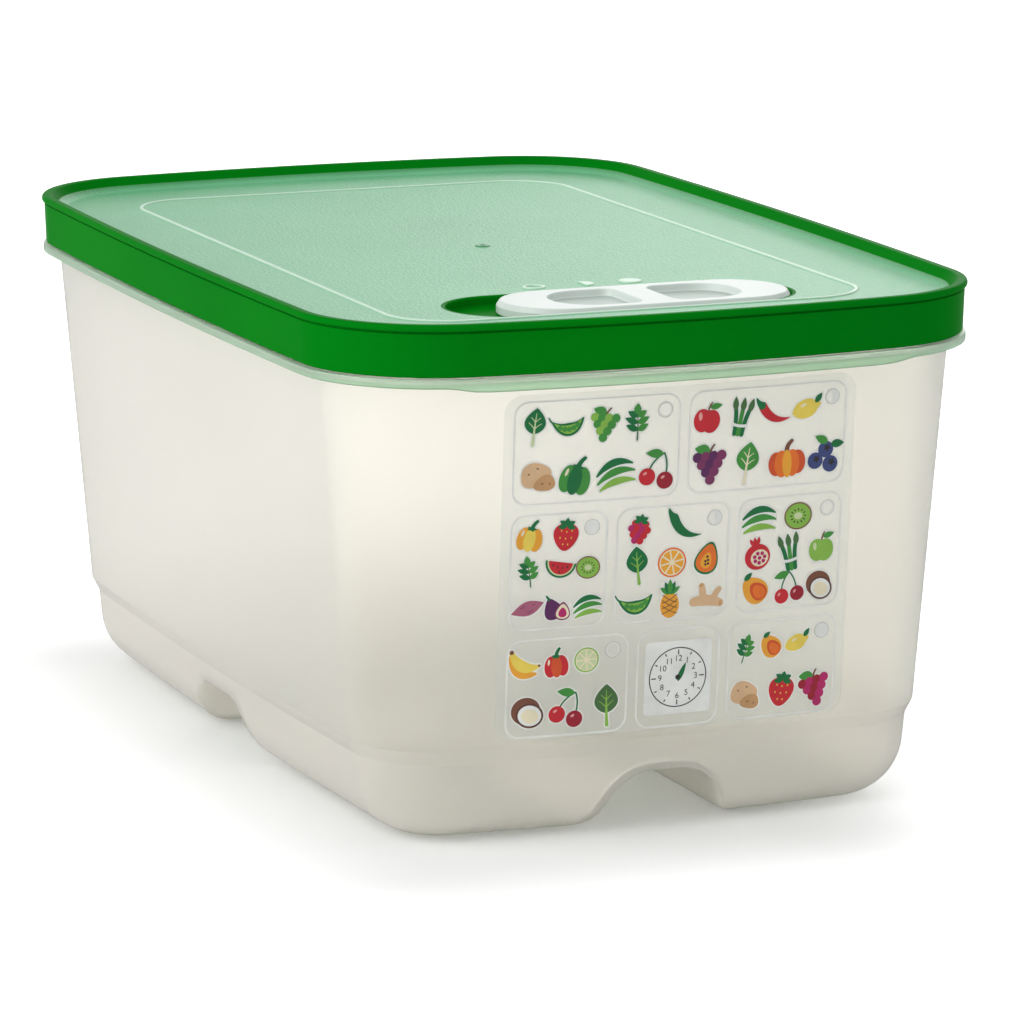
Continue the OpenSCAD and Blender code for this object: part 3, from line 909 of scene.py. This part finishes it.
def melon():
    out = [(ink, wedge(0, 2.6, r, 180, 180)) for ink, r in (("leafy", 5.6), ("pale", 4.9), ("red", 4.4))]
    return out + dots("charcoal", ((-2.6, 1.2), (-0.9, 0.6), (0.9, 0.6), (2.6, 1.2), (0, -0.9)), 0.28, 0.45)


def calyx(x, y, r):
    angles = np.radians(np.linspace(200, -20, 5))
    return [("leafy", leaf(x, y, x + r * math.cos(a), y + r * math.sin(a) * 0.8, r * 0.28)) for a in angles]


def strawberry():
    seeds = ((-1.6, 1.2), (0.1, 0.9), (1.8, 1.3), (-1.8, -1), (0, -1.2), (1.8, -0.9), (-0.7, -3), (0.9, -3))
    body = ("red", drop(0, -0.7, 3.9, -0.28, 0, 1.12))
    return [body, *dots("yellow", seeds, 0.2, 0.3, 8), *calyx(0, 2.9, 3.0)]


def pineapple():
    out = [("amber", oval(0, -1.9, 2.9, 3.8))]
    for y in (-2.2, -0.6, 1.0):
        for x in (2.2, -2.2):
            out.append(("brown", sweep((-x, -2.2 + y), (0, -1.6 + y), (x, 0.2 + y), 0.12, 0.12)))
    tips = ((-3, 3.4, "green"), (3, 3.4, "green"), (-1.6, 5, "leafy"), (1.6, 5, "leafy"), (0, 5.8, "green"))
    return out + [(ink, leaf(0, 1.4, x, y, 0.8)) for x, y, ink in tips]


def kiwi():
    out = [("brown", oval(0, 0, 4.4, 4.0)), ("lime", oval(0, 0, 4.0, 3.6)), ("pale", oval(0, 0, 1.3, 1.0))]
    for a in around(12):
        out.append(("charcoal", oval(2.2 * math.cos(a), 1.9 * math.sin(a), 0.4, 0.2, math.degrees(a), 8)))
    return out


def citrus(rind, flesh):
    out = [(rind, oval(0, 0, 4.4)), ("cream", oval(0, 0, 3.9))]
    return out + [(flesh, wedge(0, 0, 3.5, 45 * k + 4, 37, 8, 0.6)) for k in range(8)]


def lemon():
    return [
        ("yellow", leaf(-5.2, -1.4, 5.2, 1.4, 3.0)), ("yellow", oval(0, 0, 3.9, 3.1, 15)),
        ("cream", oval(-1.2, 1.1, 1.2, 0.45, 20, 12)), ("leafy", leaf(3.0, 1.6, 5.4, 4.6, 1.0)),
    ]


def cherries():
    return [
        ("leafy", sweep((-2.4, -1), (-1.6, 2.6), (1.4, 4.6), 0.22, 0.22)),
        ("leafy", sweep((2.6, -1.6), (3, 2), (1.4, 4.6), 0.22, 0.22)),
        ("green", leaf(1.2, 4.4, -3.8, 4.2, 1.2)),
        ("red", oval(-2.5, -2, 2.3)), ("maroon", oval(2.6, -2.6, 2.3)),
        ("pink", oval(-3.2, -1.2, 0.6, 0.35, 40, 10)), ("pink", oval(1.9, -1.8, 0.6, 0.35, 40, 10)),
    ]


def peas():
    return [
        ("leafy", sweep((-5.2, 2.0), (0, -4.4), (5.2, 1.4), 0.25, 0.25, 1.9)),
        ("lime", sweep((-4.4, 1.4), (0, -3.9), (4.4, 1.0), 0.1, 0.1, 1.3)),
        ("leafy", sweep((-5.2, 2.0), (-5.8, 2.6), (-6, 3.6), 0.3, 0.2)),
        *dots("green", ((-2.9, -0.3), (-1.4, -1.0), (0.1, -1.3), (1.6, -1.1), (3.0, -0.4)), 0.85, None, 14),
    ]


def chili(ink):
    return [
        (ink, sweep((-3.4, 2.2), (-1.2, -4.2), (5.2, -3.4), 1.45, 0.1, 0.4)),
        ("leafy", sweep((-5.0, 5.0), (-4.6, 3.4), (-3.6, 2.5), 0.3, 1.3)),
    ]


def spinach(blade, rib):
    out = [(blade, leaf(0, -2.2, 0, 5.8, 3.3)), (rib, sweep((0.3, -5.4), (0, -1), (0, 4.2), 0.5, 0.08))]
    for start, (x1, y1), (x2, y2), wide in (
        (-0.6, (1, 0.6), (2, 1.2), 0.16), (1.4, (0.8, 2.4), (1.5, 2.9), 0.14),
    ):
        for side in (1, -1):
            out.append((rib, sweep((0, start), (side * x1, y1), (side * x2, y2), wide, 0.08)))
    return out


def pepper(outer, front):
    return [
        ("leafy", sweep((0, 2.4), (0.2, 4), (1.3, 5.2), 0.7, 0.5)),
        *((outer, oval(2.0 * side, -0.8, 2.2, 3.7, 6 * side)) for side in (-1, 1)),
        (front, oval(0, -1.0, 1.9, 3.8)), ("cream", oval(-2.6, 0.8, 0.4, 1.1, -10, 12)),
        ("leafy", lobed(0, 2.6, 1.4, 5, 0.2, 0, 0.5)),
    ]


def potato():
    eyes = [(-2, 1.2, 0.35, 0.2, 20), (0.6, 2, 0.35, 0.2, -20), (0.9, -2.2, 0.35, 0.2, 0),
            (2.8, -2.8, 0.3, 0.18, 30)]
    return [
        ("tan", lobed(-0.4, 0.5, 4.1, 3, 0.07, 40, 0.78)),
        ("ochre", lobed(1.6, -2.3, 2.9, 3, 0.08, 160, 0.72)),
        *(("brown", oval(*eye, 8)) for eye in eyes),
    ]


def fig():
    return [
        ("purple", drop(-1.5, 0.4, 3.2, 0.5, 12, 1.3)),
        ("plum", drop(2.0, -1.4, 2.7, 0.4, -14, 1.25)),
        ("cream", drop(2.0, -1.5, 2.3, 0.4, -14, 1.2)),
        ("magenta", drop(1.9, -1.9, 1.5, 0.3, -14, 1.2)),
        ("leafy", sweep((-2.3, 4.0), (-2.6, 4.8), (-3, 5.4), 0.5, 0.35)),
    ]


def blueberries():
    out = []
    for x, y in ((-2.2, -1.6), (2.3, -1.9), (0.2, 1.7)):
        out += [("navy", oval(x, y, 2.2)), ("charcoal", lobed(x + 0.3, y + 0.5, 0.8, 5, 0.3))]
    return out + [("leafy", leaf(1.4, 3.2, 5.2, 4.0, 1.1)), ("green", leaf(0.4, 3.6, -3.6, 4.8, 1.1))]


def pumpkin():
    lobes = (("rust", 3.0, -0.8, 2.2, 3.1), ("orange", 1.5, -0.9, 2.0, 3.5))
    return [
        ("brown", sweep((0, 2.4), (0, 3.8), (1.4, 4.8), 0.7, 0.5)),
        *((ink, oval(side * x, y, a, b)) for ink, x, y, a, b in lobes for side in (-1, 1)),
        ("amber", oval(0, -1.0, 1.3, 3.6)),
    ]


def apple(ink, shine):
    return [
        ("brown", sweep((0, 2.2), (0, 3.8), (0.8, 4.9), 0.3, 0.25)),
        ("green", leaf(0.4, 3.4, 4.2, 4.6, 1.0)),
        *((ink, oval(1.4 * side, -0.8, 2.9, 3.6, -6 * side)) for side in (-1, 1)),
        (shine, oval(-2.3, 0.4, 0.6, 1.3, 10, 14)),
    ]


def mango():
    return [
        ("amber", drop(0, 0, 3.9, 0.22, 38, 1.22)), ("rust", drop(1.1, -0.6, 2.6, 0.2, 38, 1.25)),
        ("orange", drop(1.3, -0.9, 1.9, 0.2, 38, 1.25)), ("leafy", leaf(-3.0, 3.6, -0.2, 5.6, 0.9)),
    ]


def beans():
    return [
        ("leafy", sweep((-5, 0.4), (0, 4.6), (5, 1.4), 0.3, 0.25, 0.75)),
        ("green", sweep((-5.2, -1.8), (0, 1.8), (5.2, -0.6), 0.3, 0.25, 0.75)),
        ("lime", sweep((-4.8, -3.6), (0, -1.2), (4.9, -3.2), 0.3, 0.25, 0.7)),
    ]


def coconut():
    return [
        ("brown", oval(-0.6, 0.6, 4.3, 4.0)), ("umber", oval(0.6, -0.7, 4.1, 3.6, -12)),
        ("white", oval(0.6, -0.7, 3.5, 3.0, -12)), ("cream", oval(0.7, -0.9, 2.6, 2.1, -12)),
    ]


def raspberry():
    out = []
    for row, count in enumerate((3, 4, 3, 2)):
        for i in range(count):
            x, y = (i - (count - 1) / 2) * 1.75, 1.6 - 1.75 * row
            out.append((("red", "magenta")[(i + row) % 2], oval(x, y, 1.15, steps=14)))
    return out + calyx(0, 2.6, 2.6)


def papaya():
    return [
        ("leafy", drop(0, 0, 3.7, 0.35, -24, 1.4)), ("orange", drop(0, 0, 3.2, 0.35, -24, 1.4)),
        ("amber", drop(-0.3, -0.7, 1.7, 0.3, -24, 1.5)),
        *dots("charcoal", ((-0.8, -1.9), (0.1, -1.8), (-0.7, -0.9), (0.2, -0.7), (0.1, 0.4)), 0.4),
    ]


def asparagus():
    out = []
    for x, tip, ink in ((-1.7, -2.6, "leafy"), (1.7, 2.8, "leafy"), (0, 0.1, "green")):
        out.append((ink, sweep((x * 0.7, -5.4), (x * 0.8, 0), (tip, 3.4), 0.7, 0.65)))
        out.append(("moss", leaf(tip * 0.86, 1.6, tip * 1.1, 5.8, 0.95)))
    return out + [("white", sweep((-2.1, -2.6), (0, -3.1), (2.1, -2.6), 0.45, 0.45))]


def herb():
    out = [("moss", sweep((0, -5.4), (0.4, 0), (0, 3), 0.25, 0.15))]
    for y, x in ((-2.4, 3.6), (-0.2, 3.9), (1.8, 3.0)):
        out.append(("green", leaf(0.2, y, x, y + 1.7, 1.05)))
        out.append(("leafy", leaf(0.2, y, -x, y + 1.9, 1.05)))
    return out + [("green", leaf(0, 2.6, 0.2, 6.0, 1.2))]


def sweet_potato():
    marks = [((-2.6, 0.2), (-1.8, 0.3), (-1.2, 0.9)), ((0.2, -1.2), (1.2, -0.9), (1.8, -0.3)),
             ((1.6, 1.4), (2.2, 1.6), (2.6, 2.0))]
    return [("mauve", sweep((-5.4, -1.8), (0.4, 0.2), (5.4, 2.4), 0.25, 0.2, 2.3)),
            *(("plum", sweep(*mark, 0.14, 0.14)) for mark in marks)]


def ginger():
    return [
        ("tan", sweep((-4.4, -1.6), (0, -0.4), (4.4, -1.8), 1.4, 1.2, 0.4)),
        ("tan", sweep((-1.4, -1), (-1.6, 1.8), (-2.2, 3.4), 1.3, 1.0)),
        ("tan", sweep((1.8, -1), (2.6, 1.4), (3.6, 2.4), 1.2, 0.9)),
        ("ochre", oval(-2.3, 3.6, 0.75, 0.55, 15, 14)), ("ochre", oval(4.5, -1.9, 0.5, 0.9, 0, 14)),
    ]


def pomegranate():
    seeds = [(0.6 + 1.7 * math.cos(a), -1.1 + 1.5 * math.sin(a)) for a in around(7)]
    return [
        *(("red", leaf(0.6 * side, 3, 1.6 * side, 5.4, 0.6)) for side in (-1, 1)),
        ("red", leaf(0, 3, 0, 5.6, 0.6)), ("red", oval(0, -0.6, 4.2, 4.0)),
        ("cream", oval(0.6, -1.1, 2.9, 2.6)),
        *dots("magenta", [*seeds, (0.6, -1.1)], 0.62, None, 12),
    ]


INKS = {
    "white": (240, 242, 238), "leafy": (8, 112, 58), "green": (66, 150, 62), "lime": (140, 192, 78),
    "pale": (206, 220, 170), "moss": (72, 112, 62), "red": (206, 38, 48), "maroon": (160, 26, 46),
    "orange": (238, 118, 42), "rust": (216, 84, 40), "amber": (242, 170, 54), "yellow": (242, 216, 92),
    "purple": (92, 38, 92), "plum": (128, 52, 96), "magenta": (186, 36, 104), "mauve": (176, 98, 124),
    "brown": (124, 78, 58), "umber": (96, 60, 46), "tan": (226, 188, 146), "ochre": (204, 158, 110),
    "navy": (62, 74, 128), "pink": (238, 168, 166), "cream": (242, 232, 200), "charcoal": (44, 44, 44),
    "grey": (178, 184, 182),
}

INK_NAMES = list(INKS)

# For each row its heights, its cells' left edges, and each cell's vent sign and rows of produce.
CHART_ROWS = [
    (TOP_ROW, (-CHART_X, CELL_GAP / 2), [
        ("open", [[spinach("leafy", "pale"), peas(), grapes("lime", "green"), herb()],
                  [potato(), pepper("green", "leafy"), beans(), cherries()]]),
        ("half", [[apple("red", "pink"), asparagus(), chili("red"), lemon()],
                  [grapes("purple", "plum"), spinach("green", "cream"), pumpkin(), blueberries()]]),
    ]),
    (MIDDLE_ROW, (-CHART_X, -18.0, 16.4), [
        ("closed", [[pepper("amber", "yellow"), strawberry()], [herb(), melon(), kiwi()],
                    [sweet_potato(), fig(), beans()]]),
        ("half", [[raspberry(), chili("leafy")],
                  [spinach("leafy", "lime"), citrus("orange", "amber"), papaya()],
                  [peas(), pineapple(), ginger()]]),
        ("open", [[beans(), kiwi()], [pomegranate(), asparagus(), apple("lime", "pale")],
                  [mango(), cherries(), coconut()]]),
    ]),
    (LOW_ROW, (-CHART_X, -11.0, 15.0), [
        ("open", [[banana(), pepper("red", "rust"), citrus("lime", "pale")],
                  [coconut(), cherries(), spinach("moss", "lime")]]),
        (None, []),
        ("closed", [[herb(), mango(), lemon()], [potato(), strawberry(), grapes("maroon", "magenta")]]),
    ]),
]


def grown(loop, by):
    """A loop moved outwards by a distance."""
    if signed_area(loop) < 0:
        loop = loop[::-1]
    loop = resampled(loop, 0.8)
    run = np.roll(loop, -1, axis=0) - np.roll(loop, 1, axis=0)
    length = np.maximum(np.linalg.norm(run, axis=1), 1e-6)[:, None]
    return loop + by * np.stack([run[:, 1], -run[:, 0]], 1) / length


def print_icon(form, shapes, x, z, size, turn):
    """Prints one icon: a thin white rim round all its shapes, then the shapes in their inks."""
    c, s = math.cos(turn) * size, math.sin(turn) * size
    placed = [(ink, shape @ np.array([[c, s], [-s, c]]) + (x, z)) for ink, shape in shapes]
    for k, (_, shape) in enumerate(placed):
        slab(form, [grown(shape, RIM_WIDTH)], PRINT, PRINT + RIM_T + RIM_STEP * k)
    level = PRINT + RIM_T + RIM_STEP * len(placed) + INK_STEP
    for k, (ink, shape) in enumerate(placed):
        slab(form, [shape], PRINT, level + INK_STEP * k, INK_NAMES.index(ink))


def print_sign(form, kind, x, z):
    """The vent's place for a group: a ring for open, a half disc and a full disc for closed."""
    edge = oval(x, z, SIGN_R)
    loops = [edge] if kind == "closed" else [edge, oval(x, z, SIGN_HOLE_R)]
    slab(form, loops, PRINT, PRINT + LINE_T)
    if kind == "half":
        slab(form, [wedge(x, z, HALF_R, -90, 180)], PRINT, PRINT + HALF_T)
    slab(form, [oval(x, z, SIGN_EDGE_R), edge], PRINT, PRINT + SIGN_EDGE_T, 1)


def print_dial(form):
    """A plain month dial on a white tile: a ring, twelve ticks and a pointer."""
    x, z = DIAL_X, DIAL_Z
    low, high = PRINT + LINE_T, PRINT + DIAL_T
    black = INK_NAMES.index("charcoal")
    slab(form, [bar_loop(x, z, TILE_W, TILE_H, [TILE_R] * 4, 0, 4)], PRINT, low)
    slab(form, [oval(x, z, r, steps=60) for r in DIAL_RING], low, high, black)
    for k in range(12):
        a = FULL_TURN * k / 12
        reaches = (LONG_TICK if k % 3 == 0 else SHORT_TICK, *TICK_OUT)
        places = [(x + r * math.cos(a), z + r * math.sin(a)) for r in reaches]
        slab(form, [sweep(*places, TICK_HALF, TICK_HALF)], low, high, black)
    hand = leaf(x, z - HAND_BACK, x + HAND_TIP[0], z + HAND_TIP[1], HUB_R)
    slab(form, [hand], low, high, INK_NAMES.index("leafy"))
    slab(form, [oval(x, z, HUB_R)], low, PRINT + HUB_T, black)


def print_numbers():
    """The dial's numbers, as thin raised letters on its tile."""
    form = Form()
    for k in range(12):
        a = FULL_TURN * k / 12
        curve = bpy.data.curves.new("number", "FONT")
        curve.body = str((2 - k) % 12 + 1)
        curve.size = NUMBER_H
        curve.align_x = "CENTER"
        curve.align_y = "CENTER"
        curve.extrude = 0.5
        text = linked("number", curve)
        mesh = text.to_mesh()
        start = len(form.points)
        for v in mesh.vertices:
            x = DIAL_X + NUMBER_R * math.cos(a) + v.co.x
            z = DIAL_Z + NUMBER_R * math.sin(a) + v.co.y
            out = PRINT + (NUMBER_T if v.co.z > 0 else 0.0)
            form.points.append((x, float(on_wall(x, z, out)), z))
        for face in mesh.polygons:
            form.faces.append(tuple(start + i for i in face.vertices))
            form.paint.append(0)
        text.to_mesh_clear()
        bpy.data.objects.remove(text)
        bpy.data.curves.remove(curve)
    form.build("chart_dial_numbers", "container", [INK["charcoal"]], slot="storage_chart", smooth=30)


def make_film():
    """The clear film, which stands just off the wall."""
    film = Form()
    width, height = film_high[0] - film_low[0], film_high[2] - film_low[2]
    middle = (film_high[2] + film_low[2]) / 2
    slab(film, [bar_loop(0, middle, width, height, [FILM_R] * 4, 0, 8)], FILM_GAP, PRINT)
    film.build("chart_film", "container", [FILM], "storage_chart", "storage_chart", 40)


def print_cell(lines, icons, draw, x0, x1, z0, z1, sign, rows):
    """Prints a cell: its frame, its sign and its produce, each a little off its place and size."""
    frame_at = ((x0 + x1) / 2, (z0 + z1) / 2, x1 - x0, z1 - z0, [FRAME_R] * 4)
    slab(lines, [bar_loop(*frame_at, inset, 8) for inset in (0, FRAME_LINE)], PRINT, PRINT + LINE_T)
    if sign:
        print_sign(lines, sign, x1 - SIGN_IN, z1 - SIGN_IN)
    for r, row in enumerate(rows):
        cell_h = (z1 - z0 - 2 * CELL_EDGE) / len(rows)
        reach = x1 - x0 - 2 * CELL_EDGE - (SIGN_SPACE if r == 0 else 0)
        for i, shapes in enumerate(row):
            x = x0 + CELL_EDGE + reach * (i + 0.5) / len(row) + draw.uniform(-0.4, 0.4)
            z = z1 - CELL_EDGE - cell_h * (r + 0.5) + draw.uniform(-0.5, 0.5)
            size = min(reach / len(row), cell_h) / ICON_SIZE * draw.uniform(0.92, 1.0)
            print_icon(icons, shapes, x, z, min(size, LARGEST), draw.uniform(-0.25, 0.25))


def make_chart():
    """The film's print: framed cells of produce with their signs, and the dial with its numbers."""
    lines, icons, dial = Form(), Form(), Form()
    draw = np.random.default_rng(7)
    for (low, high), lefts, cells in CHART_ROWS:
        rights = [*(x - CELL_GAP for x in lefts[1:]), CHART_X]
        for x0, x1, (sign, rows) in zip(lefts, rights, cells):
            print_cell(lines, icons, draw, x0, x1, low, high, sign, rows)
    print_dial(dial)
    print_numbers()
    inks = list(INK.values())
    lines.build("chart_frames", "container", [INK["white"], INK["grey"]], slot="storage_chart")
    icons.build("chart_produce", "container", inks, slot="storage_chart")
    dial.build("chart_dial", "container", inks, slot="storage_chart")


FILM = plastic("clear_film", (240, 243, 239), (234, 239, 235), 20, 0.12, 0.02, 300, Alpha=0.14, IOR=1.45)
INK = {name: plastic("ink_" + name, rgb, [0.93 * v for v in rgb], 150, 0.4, 0.03, 1500, IOR=1.4)
       for name, rgb in INKS.items()}
make_film()
make_chart()


# Camera, light and stage

CAMERA_AT = (-586.53, -1487.01, 382.45)
CAMERA_AZIMUTH = math.radians(21.82)
CAMERA_ELEVATION = math.radians(11.37)
SENSOR_W = 36
CAMERA_LENS = 5760 / 1024 * SENSOR_W
WHITE = (1, 1, 1, 1)
AMBIENT = 0.48
FLOOR_REACH = 6
FLOOR_DROP = 0.0002
# Glow by distance from the bin's footprint: low close to it, a painted shadow, and full further out.
FLOOR_GLOW_PAINTED_SHADOW = {"From Min": 0.0, "From Max": 0.095, "To Min": 0.14, "To Max": 0.78}
PAINTED_SHADOW_CENTRE = (-0.02, -0.014, 0)
THROUGH_GLOW = 0.6
PAINTED_SHADOW_FOOTPRINT = (0.05, 0.13, 1.0)


def make_camera():
    data = bpy.data.cameras.new("camera")
    data.lens = CAMERA_LENS
    data.sensor_width = SENSOR_W
    data.clip_end = 100
    camera = linked("camera", data)
    camera.location = Vector(CAMERA_AT) * MM
    camera.rotation_euler = (QUARTER - CAMERA_ELEVATION, 0, -CAMERA_AZIMUTH)
    bpy.context.scene.camera = camera


def area_light(name, at, target, size, power):
    data = bpy.data.lights.new(name, "AREA")
    data.shape = "DISK"
    data.size = size
    data.energy = power
    lamp = linked(name, data)
    lamp.location = at
    lamp.rotation_euler = (Vector(target) - Vector(at)).to_track_quat("-Z", "Y").to_euler()


def make_world():
    """Plain white to the camera, mirrors and glass, and a softer light to all else."""
    world = bpy.data.worlds.new("studio")
    bpy.context.scene.world = world
    nodes = Nodes(world)
    ambient = nodes.tree.nodes["Background"]
    nodes.feed(ambient, {"Color": WHITE, "Strength": AMBIENT})
    white = nodes.add("Background", {"Color": WHITE, "Strength": 1})[0]
    path = nodes.add("LightPath")
    seen = path["Is Camera Ray"]
    for ray in ("Is Glossy Ray", "Is Transmission Ray"):
        seen = nodes.add("Math", {0: seen, 1: path[ray]}, operation="MAXIMUM")[0]
    shown = nodes.add("MixShader", {"Fac": seen, 1: ambient.outputs[0], 2: white})[0]
    nodes.feed(nodes.tree.nodes["World Output"], {"Surface": shown})


def floor_material():
    """White that glows to the camera, but less so close to the bin: a painted shadow round the bin's
    footprint, set a little towards the front and left.
    """
    material = bpy.data.materials.new("floor_white_painted_shadow")
    nodes = Nodes(material)
    surface = nodes.tree.nodes["Principled BSDF"]
    nodes.feed(surface, {"Base Color": (0.9, 0.9, 0.9, 1), "Roughness": 0.6, "Specular IOR Level": 0.1})
    place = nodes.add("TexCoord")["Object"]
    for operation, other in (
        ("SUBTRACT", PAINTED_SHADOW_CENTRE), ("ABSOLUTE", (0, 0, 0)), ("SUBTRACT", PAINTED_SHADOW_FOOTPRINT), ("MAXIMUM", (0, 0, 0)),
    ):
        place = nodes.add("VectorMath", {0: place, 1: other}, operation=operation)[0]
    # How far a point lies outside the footprint, which sets the painted shadow.
    away = nodes.add("VectorMath", {0: place}, operation="LENGTH")["Value"]
    fade = nodes.add("MapRange", {"Value": away, **FLOOR_GLOW_PAINTED_SHADOW}, interpolation_type="SMOOTHSTEP")["Result"]
    path = nodes.add("LightPath")
    bright = nodes.add("Math", {0: path["Is Camera Ray"], 1: fade}, operation="MULTIPLY")[0]
    through = {0: path["Is Transmission Ray"], 1: THROUGH_GLOW, 2: bright}
    strength = nodes.add("Math", through, operation="MULTIPLY_ADD")[0]
    glow = nodes.add("Emission", {"Strength": strength})[0]
    both = nodes.add("AddShader", {0: surface.outputs[0], 1: glow})[0]
    nodes.feed(nodes.tree.nodes["Material Output"], {"Surface": both})
    return material


def make_floor():
    mesh = bpy.data.meshes.new("floor")
    corners = [(x * FLOOR_REACH, y * FLOOR_REACH, 0) for x, y in ((-1, -1), (1, -1), (1, 1), (-1, 1))]
    mesh.from_pydata(corners, [], [(0, 1, 2, 3)])
    mesh.materials.append(floor_material())
    floor = linked("floor", mesh)
    floor.location = (0, 0, -FLOOR_DROP)


make_camera()
make_world()
make_floor()
area_light("key", (-1.9, -0.35, 1.2), (0, 0, 0.08), 2.6, 36)
area_light("back", (1.3, 2.0, 0.9), (0, 0, 0.1), 1.2, 4)
area_light("side", (1.9, -0.6, 1.0), (0, 0, 0.08), 2.0, 8)
bpy.context.scene.view_settings.view_transform = "Standard"
